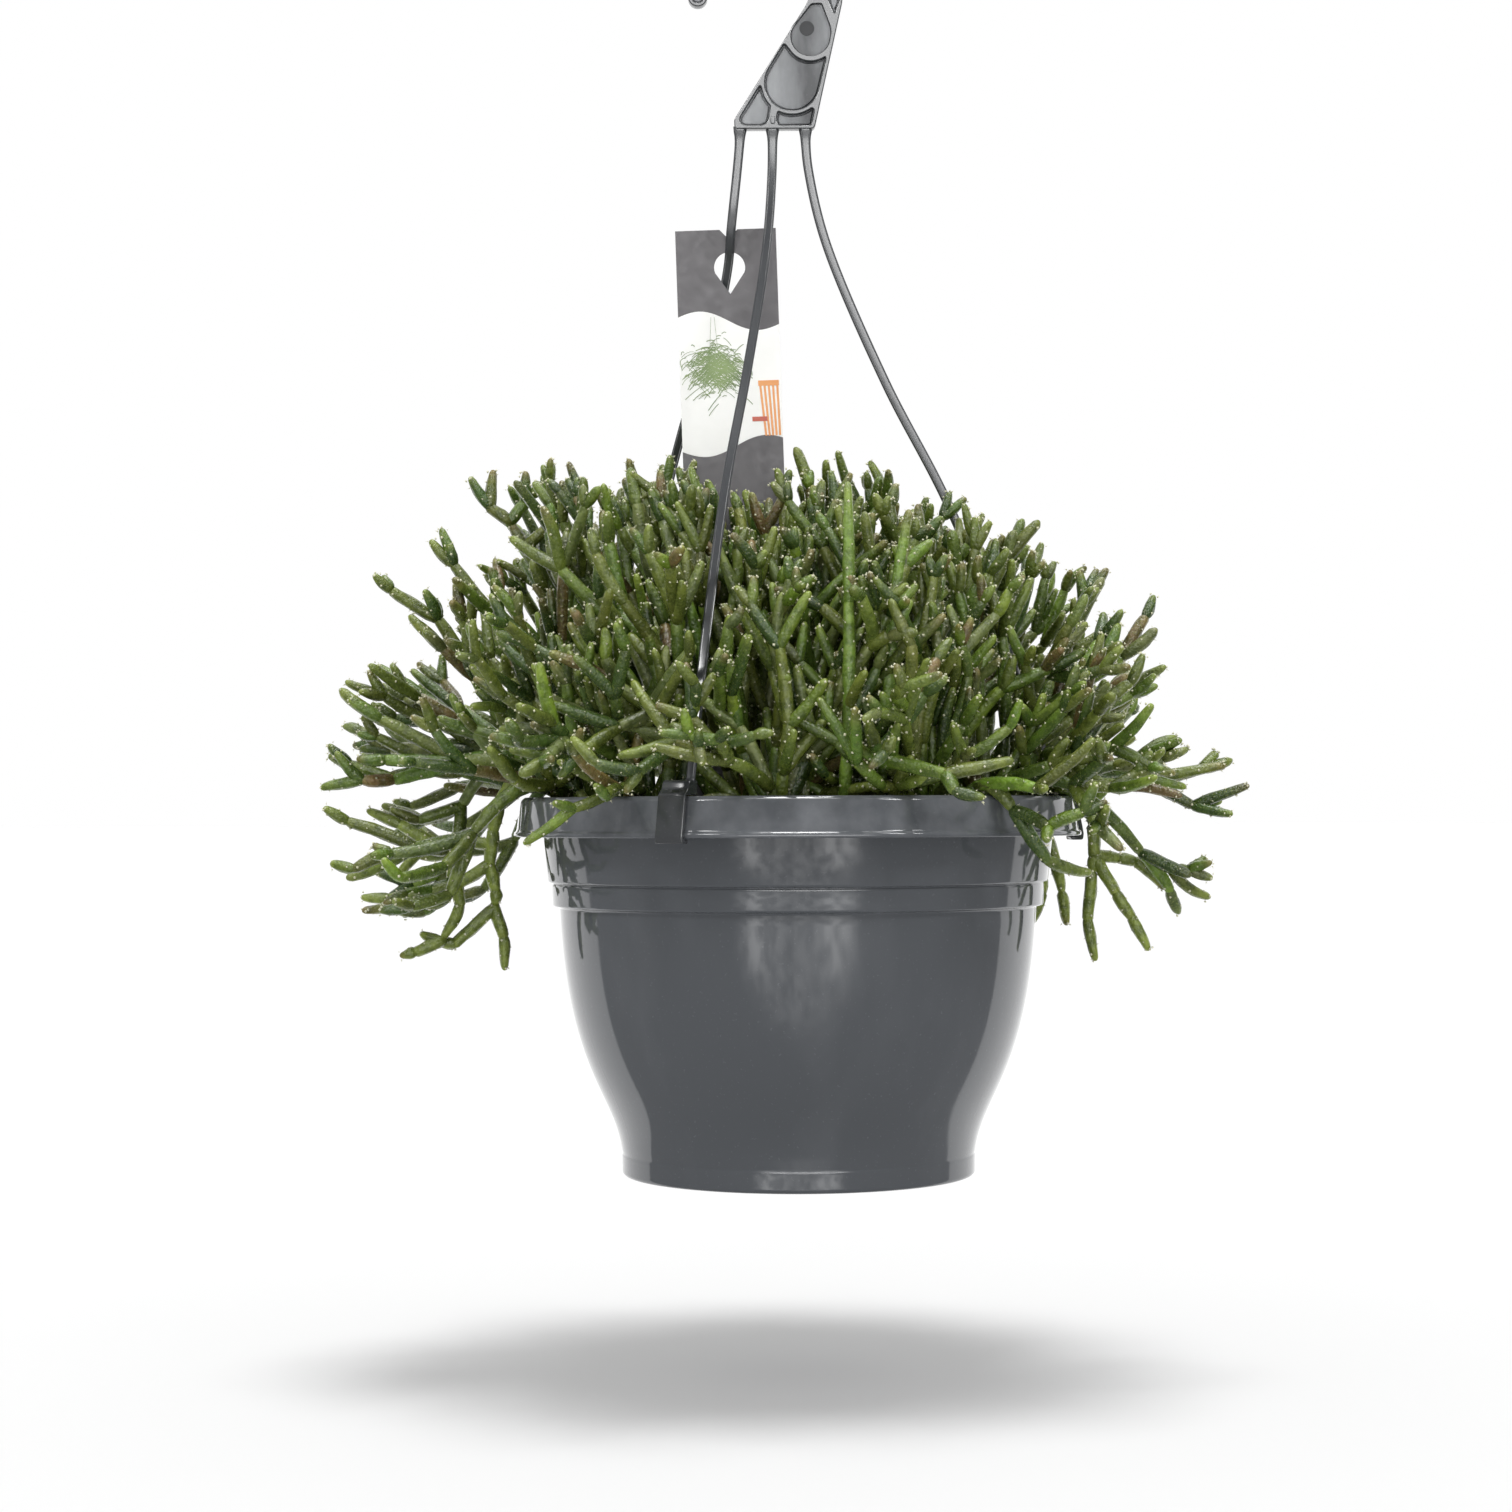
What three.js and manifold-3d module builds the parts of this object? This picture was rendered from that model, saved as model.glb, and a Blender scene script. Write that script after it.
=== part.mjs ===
// A rhipsalis (mistletoe cactus) in a hanging nursery pot.
// Millimetres, +Z up. The origin is the middle of the pot's flat underside, and -Y is the front.
// Directions round the pot are in degrees from +X, anticlockwise seen from above.

import * as THREE from "three";
import { mergeVertices } from "three/addons/utils/BufferGeometryUtils.js";
import Module from "manifold-3d";

const wasm = await Module();
wasm.setup();

// ---- driving dimensions ----

const GAP = 0.35; // clearance between pieces that touch
const FACETS = 48; // round the pot

const POT_HEIGHT = 152.8;
const POT_WALL = 1.3;
const BASE_THICKNESS = 2.4;
const SKIRT_RADIUS = 115; // the rim's widest place, at the foot of its turned-down skirt
const SKIRT_FOOT = 137;
const RIM_TOP_RADIUS = 112;
const NECK_RADIUS = 103.2; // the wall where it goes up behind the skirt
const BOWL = { foot: [71.3, 5], low: [72.6, 33], high: [93.1, 36.3], top: [96.8, 108.4] };
const DRAIN_HOLES = 8;
const DRAIN_RADIUS = 4.5;
const DRAIN_CIRCLE = 52;

const SOIL_LEVEL = 141;
const PLUG_RADIUS = 13;
const PLUG_LENGTH = 38;
const PLUG_TAPER = 0.78;

const ARM_DIRECTIONS = { right: 5, back_left: 125, front: 245 };
const CLIP_WIDTH = 11.4;
const CLIP_THICKNESS = 2;
const CLIP_TOP = 158.8;
const ARM_RADIUS = 2.1;
const ARM_SIDES = 8;
const ARM_STEPS = 22;
const ARM_END_GAP = 1.2; // an arm's slanting end stays this far above its clip

const PLATE_THICKNESS = 5;
const PLATE_FOOT = 425.7;
const CELL_DEPTH = 1.6;
const HOOK_CENTRE = new THREE.Vector2(-11.5, 506);
const HOOK_OUTER = 32;
const HOOK_WIDTH = 8;
const HOOK_TIP = 480;

const LABEL_WIDTH = 41.5;
const LABEL_LENGTH = 289;
const LABEL_THICKNESS = 0.5;
const LABEL_TIP = new THREE.Vector3(-19.5, 9.5, 97.8);
const LABEL_LEAN = -1.8; // degrees, its top towards -X

const FOLIAGE_UNDERSIDE = 160;
const FOLIAGE_SPLIT = 59; // radius where the inner cuttings end and the outer ones begin
const OUTER_CUTTINGS_PER_ARM = 3;
const INNER_CUTTINGS = 5;
const CUTTING_GAP = 1.5; // half the space between two cuttings
const ARM_SLOT = 5.5; // half the space that an arm passes through
const CROWN_RADIUS = 8;
const BELOW_STEMS = 60;
const ABOVE_STEMS = 320;
// Directions of the vertical planes that the arms lie in, at the split and at the rim.
const ARM_PLANES = [
  { inner: 6.9, outer: 7.1 },
  { inner: 141.5, outer: 128 },
  { inner: 243.3, outer: 246.6 },
];

// ---- shared helpers ----

const turn = (degrees) => THREE.MathUtils.degToRad(degrees);
const onCircle = (radius, degrees) =>
  new THREE.Vector2(radius * Math.cos(turn(degrees)), radius * Math.sin(turn(degrees)));

/** Turns a closed geometry into a manifold solid. */
function solidOf(geometry) {
  const bare = geometry.clone();
  bare.deleteAttribute("normal");
  bare.deleteAttribute("uv");
  const merged = mergeVertices(bare, 1e-3);
  const faces = [];
  for (let i = 0; i < merged.index.count; i += 3) {
    const [a, b, c] = [0, 1, 2].map((k) => merged.index.getX(i + k));
    if (a !== b && b !== c && c !== a) faces.push(a, b, c);
  }
  const mesh = new wasm.Mesh({
    numProp: 3,
    vertProperties: new Float32Array(merged.attributes.position.array),
    triVerts: new Uint32Array(faces),
  });
  return new wasm.Manifold(mesh);
}

/** Turns a manifold solid back into a geometry. */
function geometryOf(solid) {
  const mesh = solid.getMesh();
  const geometry = new THREE.BufferGeometry();
  geometry.setAttribute("position", new THREE.BufferAttribute(new Float32Array(mesh.vertProperties), 3));
  geometry.setIndex(new THREE.BufferAttribute(new Uint32Array(mesh.triVerts), 1));
  geometry.computeVertexNormals();
  return geometry;
}

/** Turns a profile of [radius, height] points about the Z axis. */
function turned(profile, facets = FACETS) {
  const points = profile.map(([radius, height]) => new THREE.Vector2(radius, height));
  return new THREE.LatheGeometry(points, facets).rotateX(Math.PI / 2);
}

/** A prism over a plan shape, from below the lowest stems to above the highest. */
function prism(shape) {
  const options = { depth: ABOVE_STEMS - BELOW_STEMS, bevelEnabled: false };
  return new THREE.ExtrudeGeometry(shape, options).translate(0, 0, BELOW_STEMS);
}

/** A plate whose outline lies in the XZ plane, centred on a given Y. */
function uprightPlate(shape, thickness, middle = 0, curveSegments = 8) {
  const options = { depth: thickness, bevelEnabled: false, curveSegments };
  const plate = new THREE.ExtrudeGeometry(shape, options).rotateX(Math.PI / 2);
  return plate.translate(0, middle + thickness / 2, 0);
}

/** A cone or cylinder standing upright, with its foot at a given level. */
function upright(topRadius, footRadius, from, to, sides) {
  const body = new THREE.CylinderGeometry(topRadius, footRadius, to - from, sides).rotateX(Math.PI / 2);
  return body.translate(0, 0, (from + to) / 2);
}

function mesh(name, geometry, material) {
  const piece = new THREE.Mesh(geometry, material);
  piece.name = name;
  return piece;
}

// ---- materials ----

const finish = (color, roughness) => () =>
  new THREE.MeshStandardMaterial({ color, roughness, metalness: 0 });
const potPlastic = finish(0x55595e, 0.25);
const hangerPlastic = finish(0x6f7478, 0.4);
const soilFinish = finish(0x3a2a1e, 0.95);
const plugFinish = finish(0x4a3626, 0.95);
const labelCard = finish(0x3a3c40, 0.5);
const stemGreen = finish(0x4e7030, 0.6);

// ---- pot ----

/** Points up the bowl's long curve, moved outwards by an offset. */
function bowlCurve(offset, steps = 9) {
  const corners = [BOWL.foot, BOWL.low, BOWL.high, BOWL.top].map(
    ([radius, height]) => new THREE.Vector2(radius + offset, height),
  );
  return new THREE.CubicBezierCurve(...corners).getPoints(steps).map((p) => [p.x, p.y]);
}

/** The wall from the foot up to behind the skirt: the bowl, two moulded steps and a straight neck. */
function wallLine(offset) {
  return [
    ...bowlCurve(offset),
    [99.5 + offset, 109.3],
    [99.8 + offset, 117.6],
    [101.3 + offset, 119.1],
    [NECK_RADIUS + offset, 134.8],
  ];
}

function potProfile() {
  const flat = 68.4;
  const underRim = POT_HEIGHT - 1.8;
  return [
    [0, 0],
    [flat, 0],
    [70.6, 0.9],
    ...wallLine(0),
    [NECK_RADIUS + 0.5, underRim],
    [RIM_TOP_RADIUS - 1.6, underRim],
    [SKIRT_RADIUS - POT_WALL, SKIRT_FOOT],
    [SKIRT_RADIUS, SKIRT_FOOT],
    [RIM_TOP_RADIUS + 0.2, POT_HEIGHT - 1.4],
    [RIM_TOP_RADIUS - 1.2, POT_HEIGHT],
    [NECK_RADIUS + 0.4, POT_HEIGHT],
    [NECK_RADIUS - 0.7, POT_HEIGHT - 0.9],
    ...wallLine(-POT_WALL).reverse(),
    [flat + 0.6, BASE_THICKNESS],
    [0, BASE_THICKNESS],
  ];
}

function pot() {
  let body = solidOf(turned(potProfile()));
  for (let i = 0; i < DRAIN_HOLES; i += 1) {
    const place = onCircle(DRAIN_CIRCLE, (360 / DRAIN_HOLES) * (i + 0.5));
    const hole = upright(DRAIN_RADIUS, DRAIN_RADIUS, -1, BASE_THICKNESS + 1, 12);
    body = body.subtract(solidOf(hole.translate(place.x, place.y, 0)));
  }
  return mesh("pot", geometryOf(body), potPlastic());
}

// ---- places of the cuttings ----

/** The borders between the outer cuttings: each arm's plane, and planes evenly between two arms. */
function outerBorders() {
  const borders = [];
  ARM_PLANES.forEach((plane, i) => {
    const next = ARM_PLANES[(i + 1) % ARM_PLANES.length];
    const wrap = i + 1 === ARM_PLANES.length ? 360 : 0;
    for (let k = 0; k < OUTER_CUTTINGS_PER_ARM; k += 1) {
      const share = k / OUTER_CUTTINGS_PER_ARM;
      borders.push({
        inner: THREE.MathUtils.lerp(plane.inner, next.inner + wrap, share),
        outer: THREE.MathUtils.lerp(plane.outer, next.outer + wrap, share),
        gap: k === 0 ? ARM_SLOT : CUTTING_GAP,
      });
    }
  });
  return borders;
}

/** Pairs of neighbouring borders, one pair for each outer cutting. */
function outerCells() {
  const borders = outerBorders();
  return borders.map((start, i) => {
    const last = i + 1 === borders.length;
    const end = borders[(i + 1) % borders.length];
    const wrap = last ? 360 : 0;
    return { start, end: { ...end, inner: end.inner + wrap, outer: end.outer + wrap } };
  });
}

const INNER_APEX = new THREE.Vector2(0, LABEL_TIP.y);
const INNER_PLUG_RADIUS = 30;
const OUTER_PLUG_RADIUS = 82;
const innerStep = 360 / INNER_CUTTINGS;
/** Middle direction of an inner cutting: the label stands in the border that points to -X. */
const innerMiddle = (i) => 180 + innerStep * (i + 0.5);

function plugPlaces() {
  const inner = Array.from({ length: INNER_CUTTINGS }, (_, i) =>
    onCircle(INNER_PLUG_RADIUS, innerMiddle(i)).add(INNER_APEX),
  );
  const outer = outerCells().map(({ start, end }) =>
    onCircle(OUTER_PLUG_RADIUS, (start.inner + end.inner + start.outer + end.outer) / 4),
  );
  return [...inner, ...outer];
}

const PLUGS = plugPlaces();
const numbered = (i) => String(i + 1).padStart(2, "0");

// ---- plant label ----

/** The lower part of the label, pointed at its foot. */
function labelFoot(outline, grow) {
  const half = LABEL_WIDTH / 2 + grow;
  const shoulder = 34;
  outline.moveTo(0, -grow * 2);
  outline.lineTo(half, shoulder - grow);
  return half;
}

/** The whole card: a notch in its top edge, a slit down from it and a teardrop hole that holds an arm. */
function labelOutline() {
  const outline = new THREE.Shape();
  const half = labelFoot(outline, 0);
  const hole = { x: 1.2, top: 279.7, foot: 262.4, half: 6.4 };
  const round = hole.top - hole.half;
  const notch = { half: 3.7, depth: 3.7 };
  const slit = 0.3;
  outline.lineTo(half, LABEL_LENGTH);
  outline.lineTo(hole.x + notch.half, LABEL_LENGTH);
  outline.lineTo(hole.x + slit, LABEL_LENGTH - notch.depth);
  outline.lineTo(hole.x + slit, hole.top);
  outline.absarc(hole.x, round, hole.half, turn(86), turn(-20), true);
  outline.lineTo(hole.x, hole.foot);
  outline.absarc(hole.x, round, hole.half, turn(200), turn(94), true);
  outline.lineTo(hole.x - slit, LABEL_LENGTH - notch.depth);
  outline.lineTo(hole.x - notch.half, LABEL_LENGTH);
  outline.lineTo(-half, LABEL_LENGTH);
  outline.lineTo(-half, 34);
  return outline;
}

/** Stands a piece of the label in its place in the pot. */
function standLabel(geometry) {
  const { x, y, z } = LABEL_TIP;
  return geometry.rotateY(turn(LABEL_LEAN)).translate(x, y, z);
}

function plantLabel() {
  const card = uprightPlate(labelOutline(), LABEL_THICKNESS, 0, 5);
  return mesh("plant_label", geometryOf(solidOf(standLabel(card))), labelCard());
}

/** The slot that the label's foot has pushed open in the soil. */
function labelSlot() {
  const outline = new THREE.Shape();
  const half = labelFoot(outline, 0.5);
  outline.lineTo(half, 60);
  outline.lineTo(-half, 60);
  outline.lineTo(-half, 33.5);
  return solidOf(standLabel(uprightPlate(outline, LABEL_THICKNESS + 2 * GAP)));
}

// ---- soil and root plugs ----

const plugShape = (grow, from, to) =>
  upright(PLUG_RADIUS + grow, PLUG_RADIUS * PLUG_TAPER + grow, from, to, 12);

function pottingSoil() {
  const wall = wallLine(-POT_WALL - GAP);
  const edge = wall[wall.length - 1][0] + 0.2;
  const floor = BASE_THICKNESS + GAP;
  const profile = [[0, floor], [67.6, floor], ...wall, [edge, SOIL_LEVEL], [0, SOIL_LEVEL]];
  let body = solidOf(turned(profile));
  const foot = SOIL_LEVEL - PLUG_LENGTH - GAP;
  for (const place of PLUGS) {
    const pocket = plugShape(GAP, foot, SOIL_LEVEL + 0.5).translate(place.x, place.y, 0);
    body = body.subtract(solidOf(pocket));
  }
  return mesh("potting_soil", geometryOf(body.subtract(labelSlot())), soilFinish());
}

function rootPlugs() {
  return PLUGS.map((place, i) => {
    const plug = plugShape(0, SOIL_LEVEL - PLUG_LENGTH, SOIL_LEVEL);
    const piece = mesh(`root_plug_${numbered(i)}`, plug, plugFinish());
    piece.position.set(place.x, place.y, 0);
    return piece;
  });
}

// ---- cuttings ----

/** How far the stems reach out and how low they hang, in a direction. */
function spread(degrees) {
  const [across, along] = [Math.cos(turn(degrees)), Math.sin(turn(degrees))];
  const reach = along < 0 ? 165 + 23 * across * across : 176 + 12 * across * across;
  const droop = along < 0 ? 148 - 63 * across * across : 116 - 31 * across * across;
  return { reach: reach - 8.5 * across, droop };
}

const SIDE_REACH = 188;
const SIDE_DROOP = 85;
const OVER_RIM = 119;

/** The ring of outer stems: over the rim, hanging low at the sides and little at the front. */
function outerRing() {
  const outline = [
    [FOLIAGE_SPLIT + CUTTING_GAP, FOLIAGE_UNDERSIDE],
    [OVER_RIM, FOLIAGE_UNDERSIDE],
    [122, 148],
    [125, 115],
    [134, 92],
    [148, SIDE_DROOP],
    [168, 98],
    [182, 122],
    [SIDE_REACH, 152],
    [183, 186],
    [166, 218],
    [143, 242],
    [112, 259],
    [FOLIAGE_SPLIT + CUTTING_GAP, 273],
  ];
  const ring = turned([...outline, outline[0]], 36);
  const place = ring.attributes.position;
  for (let i = 0; i < place.count; i += 1) {
    const [x, y, z] = [place.getX(i), place.getY(i), place.getZ(i)];
    const radius = Math.hypot(x, y);
    const { reach, droop } = spread(THREE.MathUtils.radToDeg(Math.atan2(y, x)));
    if (radius <= OVER_RIM) continue;
    const wider = OVER_RIM + ((radius - OVER_RIM) * (reach - OVER_RIM)) / (SIDE_REACH - OVER_RIM);
    const below = Math.max(0, FOLIAGE_UNDERSIDE - z) / (FOLIAGE_UNDERSIDE - SIDE_DROOP);
    const lower = z < FOLIAGE_UNDERSIDE ? FOLIAGE_UNDERSIDE - below * (FOLIAGE_UNDERSIDE - droop) : z;
    place.setXYZ(i, (x * wider) / radius, (y * wider) / radius, lower);
  }
  return solidOf(ring);
}

/** The dome of inner stems. */
function innerDome() {
  const top = 285;
  const profile = [
    [0, FOLIAGE_UNDERSIDE],
    [FOLIAGE_SPLIT - CUTTING_GAP, FOLIAGE_UNDERSIDE],
    [FOLIAGE_SPLIT - CUTTING_GAP, top - 15],
    [48, top - 9],
    [26, top - 3],
    [0, top],
  ];
  return solidOf(turned(profile, 30));
}

/** A prism over the plan between two borders, kept clear of each by its gap. */
function outerWedge({ start, end }) {
  const [near, far] = [FOLIAGE_SPLIT - 9, 250];
  const line = (border, side) => {
    const from = onCircle(FOLIAGE_SPLIT, border.inner);
    const to = onCircle(107, border.outer);
    const way = to.clone().sub(from).normalize();
    const aside = new THREE.Vector2(-way.y, way.x).multiplyScalar(side * border.gap);
    const at = (distance) => from.clone().addScaledVector(way, distance).add(aside);
    return [at(near - FOLIAGE_SPLIT), at(far - FOLIAGE_SPLIT)];
  };
  const [startNear, startFar] = line(start, 1);
  const [endNear, endFar] = line(end, -1);
  const beyond = onCircle(far * 1.15, (start.outer + end.outer) / 2);
  return solidOf(prism(new THREE.Shape([startNear, startFar, beyond, endFar, endNear])));
}

/** A prism over one sector of the dome. */
function innerWedge(middle) {
  const half = innerStep / 2;
  const corner = onCircle(CUTTING_GAP / Math.sin(turn(half)), middle).add(INNER_APEX);
  const reach = 150;
  const outline = [corner, ...[-half, 0, half].map((side) => onCircle(reach, middle + side).add(corner))];
  return solidOf(prism(new THREE.Shape(outline)));
}

/** The bare stem bases of a cutting, between its root plug and its leaf-like branches. */
function crown(place) {
  const base = upright(CROWN_RADIUS + 2, CROWN_RADIUS, SOIL_LEVEL + GAP, FOLIAGE_UNDERSIDE + 6, 10);
  return solidOf(base.translate(place.x, place.y, 0));
}

function cuttings() {
  const dome = innerDome();
  const ring = outerRing();
  const inner = Array.from({ length: INNER_CUTTINGS }, (_, i) => dome.intersect(innerWedge(innerMiddle(i))));
  const outer = outerCells().map((cell) => ring.intersect(outerWedge(cell)));
  return [...inner, ...outer].map((stems, i) => {
    const body = stems.add(crown(PLUGS[i]));
    return mesh(`cutting_${numbered(i)}`, geometryOf(body), stemGreen());
  });
}

// ---- hanger ----

/** The plate and the hook above it, as one outline in the XZ plane. */
function hookOutline() {
  const { x, y } = HOOK_CENTRE;
  const inner = HOOK_OUTER - HOOK_WIDTH;
  const tip = HOOK_WIDTH / 2;
  const outline = new THREE.Shape();
  outline.moveTo(-22.6, PLATE_FOOT);
  outline.lineTo(7.4, PLATE_FOOT);
  outline.lineTo(9.6, PLATE_FOOT + 2);
  outline.lineTo(19.4, 477.4);
  outline.quadraticCurveTo(21.2, 490, x + HOOK_OUTER, y);
  outline.absarc(x, y, HOOK_OUTER, 0, Math.PI, false);
  outline.lineTo(x - HOOK_OUTER, HOOK_TIP);
  outline.absarc(x - HOOK_OUTER + tip, HOOK_TIP, tip, Math.PI, 2 * Math.PI, false);
  outline.lineTo(x - inner, y);
  outline.absarc(x, y, inner, Math.PI, 0, true);
  outline.quadraticCurveTo(10.6, 489, 4, 477.4);
  outline.lineTo(-24.8, PLATE_FOOT + 3.1);
  return outline;
}

/** The sunk cells between the plate's ribs. */
function plateCells() {
  const largeDrop = new THREE.Shape();
  largeDrop.absarc(-1.75, 442.8, 10.4, turn(-225), turn(75), false);
  largeDrop.lineTo(-4.6, 457.6);
  const upperDrop = new THREE.Shape();
  upperDrop.absarc(6.8, 463, 8.4, turn(-200), turn(20), false);
  upperDrop.lineTo(15.6, 474);
  upperDrop.lineTo(6.4, 475.6);
  const triangle = new THREE.Shape([
    new THREE.Vector2(-22, 427.6),
    new THREE.Vector2(-11, 427.6),
    new THREE.Vector2(-10.2, 431),
    new THREE.Vector2(-14.6, 440.6),
  ]);
  const bar = new THREE.Shape([
    new THREE.Vector2(-7.4, 427.2),
    new THREE.Vector2(7, 427.2),
    new THREE.Vector2(7.8, 430.6),
    new THREE.Vector2(-6.8, 430.6),
  ]);
  return [largeDrop, upperDrop, triangle, bar];
}

function hangerHook() {
  let body = solidOf(uprightPlate(hookOutline(), PLATE_THICKNESS, 0, 14));
  for (const shape of plateCells()) {
    for (const side of [-1, 1]) {
      const face = (side * PLATE_THICKNESS) / 2;
      body = body.subtract(solidOf(uprightPlate(shape, 2 * CELL_DEPTH, face, 6)));
    }
  }
  return mesh("hanger_hook", geometryOf(body), hangerPlastic());
}

/** Where an arm comes down on its clip: near one end of the strap. */
function clipTop(direction) {
  const aside = 4;
  const place = onCircle(107, direction).add(onCircle(aside, direction + 90));
  return new THREE.Vector3(place.x, place.y, CLIP_TOP + ARM_END_GAP);
}

/** Points down each arm, from just under the plate to its clip. */
function armPoints() {
  const root = PLATE_FOOT - GAP;
  return {
    right: [
      [4.4, 0, root],
      [5.6, 0.3, 409],
      [12.5, 1.2, 380],
      [36.9, 4.4, 322.6],
      [62.2, 7.6, 273.8],
      [86, 10.6, 215],
    ],
    front: [
      [-9.1, 0, root],
      [-9.4, -1, 407],
      [-11.6, -8, 377],
      [-19.8, -31.6, 322],
      [-28.2, -55, 273.8],
      [-35.6, -78, 215],
    ],
    back_left: [
      [-22.7, 0, root],
      [-23.6, 0, 409],
      [-26.2, 2, 385],
      [-27.5, 9.5, 371.5],
      [-33, 21.5, 348],
      [-47.6, 42, 307],
      [-57.7, 58, 266.5],
      [-62.6, 73, 215],
    ],
  };
}

function hangerArm(name, points) {
  const ends = [...points.map((p) => new THREE.Vector3(...p)), clipTop(ARM_DIRECTIONS[name])];
  const section = new THREE.Shape(
    Array.from({ length: ARM_SIDES }, (_, i) => onCircle(ARM_RADIUS, (360 / ARM_SIDES) * (i + 0.5))),
  );
  const path = new THREE.CatmullRomCurve3(ends, false, "centripetal");
  const options = { steps: ARM_STEPS, extrudePath: path, bevelEnabled: false };
  const rod = new THREE.ExtrudeGeometry(section, options);
  return mesh(`hanger_arm_${name}`, geometryOf(solidOf(rod)), hangerPlastic());
}

/** The strap that goes over the rim and hooks under its skirt, drawn as radius and height. */
function clipOutline() {
  const inside = NECK_RADIUS + 0.6;
  const outside = SKIRT_RADIUS + 0.4;
  const t = CLIP_THICKNESS;
  const hookLip = SKIRT_FOOT - GAP - 0.1;
  return new THREE.Shape(
    [
      [inside, POT_HEIGHT + GAP],
      [RIM_TOP_RADIUS + 0.3, POT_HEIGHT + GAP],
      [outside, SKIRT_FOOT + 0.4],
      [outside, hookLip],
      [outside - 3.6, hookLip],
      [outside - 3.4, hookLip - 1.7],
      [outside + t - 0.4, hookLip - 1.7],
      [outside + t, hookLip - 1.2],
      [outside + t, SKIRT_FOOT + 0.6],
      [RIM_TOP_RADIUS + t + 0.3, POT_HEIGHT + 0.6],
      [RIM_TOP_RADIUS - 0.4, POT_HEIGHT + GAP + t],
      [110, CLIP_TOP],
      [inside, CLIP_TOP],
    ].map(([radius, height]) => new THREE.Vector2(radius, height)),
  );
}

function rimClip(name, direction) {
  const clip = mesh(`rim_clip_${name}`, uprightPlate(clipOutline(), CLIP_WIDTH), hangerPlastic());
  clip.rotation.z = turn(direction);
  return clip;
}

function hanger() {
  const group = new THREE.Group();
  group.add(hangerHook());
  for (const [name, points] of Object.entries(armPoints())) group.add(hangerArm(name, points));
  for (const [name, direction] of Object.entries(ARM_DIRECTIONS)) group.add(rimClip(name, direction));
  return group;
}

// ---- the whole plant ----

function hangingPlant() {
  const group = new THREE.Group();
  group.add(pot(), pottingSoil(), ...rootPlugs(), ...cuttings(), plantLabel(), hanger());
  return group;
}

export default hangingPlant();
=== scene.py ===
"""A rhipsalis in a hanging nursery pot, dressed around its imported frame.

Everything is in metres, in the frame's own axes: +Z up, -Y towards the front, and the origin in the
middle of the pot's flat underside. Sizes written in millimetres pass through ``MM``.
"""

from __future__ import annotations

import logging
import math
from dataclasses import dataclass, field
from enum import Enum
from typing import Optional, Sequence

import bpy
import numpy as np
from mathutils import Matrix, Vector, noise


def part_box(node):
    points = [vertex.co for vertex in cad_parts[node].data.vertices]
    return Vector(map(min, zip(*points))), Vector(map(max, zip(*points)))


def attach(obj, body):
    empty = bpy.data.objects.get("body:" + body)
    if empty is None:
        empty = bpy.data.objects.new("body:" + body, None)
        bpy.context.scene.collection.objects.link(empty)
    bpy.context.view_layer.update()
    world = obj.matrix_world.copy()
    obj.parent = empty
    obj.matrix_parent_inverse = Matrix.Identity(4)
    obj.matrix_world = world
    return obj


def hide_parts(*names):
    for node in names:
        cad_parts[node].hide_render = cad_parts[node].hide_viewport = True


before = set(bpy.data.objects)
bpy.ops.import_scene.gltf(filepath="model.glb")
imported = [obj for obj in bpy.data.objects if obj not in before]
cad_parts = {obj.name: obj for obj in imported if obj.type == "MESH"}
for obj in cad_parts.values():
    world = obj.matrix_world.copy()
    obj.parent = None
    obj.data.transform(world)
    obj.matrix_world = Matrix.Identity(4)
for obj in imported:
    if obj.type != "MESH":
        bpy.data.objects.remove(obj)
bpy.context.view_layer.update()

MM = 0.001
UP = np.array([0.0, 0.0, 1.0])
SIDEWAYS = np.array([1.0, 0.0, 0.0])
GOLDEN_SHARE = 0.618034
GOLDEN_TURN = 2.4
SOIL_TOP = 141.0
PLUGS = 14
BODY = "root"
log = logging.getLogger("rhipsalis")

Array = np.ndarray
Colour = tuple[float, float, float]
Points = list[list[float]]
Node = bpy.types.Node
Socket = bpy.types.NodeSocket


class Slot(str, Enum):
    """The record's material slots."""

    POT = "pot_plastic"
    HANGER = "hanger_plastic"
    SOIL = "potting_soil"
    PEAT = "plug_peat"
    LABEL = "label_card"
    STEM = "stem_green"


class Side(Enum):
    """The four sides that the bush's outline is given for, as directions in degrees from +X."""

    RIGHT = 0
    BACK = 90
    LEFT = 180
    FRONT = 270


# ---------------------------------------------------------------- numbers and vectors


def unit(vectors: Array) -> Array:
    """Scale vectors to length one.

    Args:
        vectors: One vector, or rows of them.

    Returns:
        The same directions with unit length.
    """
    length = np.linalg.norm(vectors, axis=-1, keepdims=True)
    return vectors / np.maximum(length, 1e-12)


def on_circle(radius: float, degrees: float) -> Array:
    """A point at a radius and direction in the XY plane."""
    angle = math.radians(degrees)
    return np.array([radius * math.cos(angle), radius * math.sin(angle)])


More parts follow.
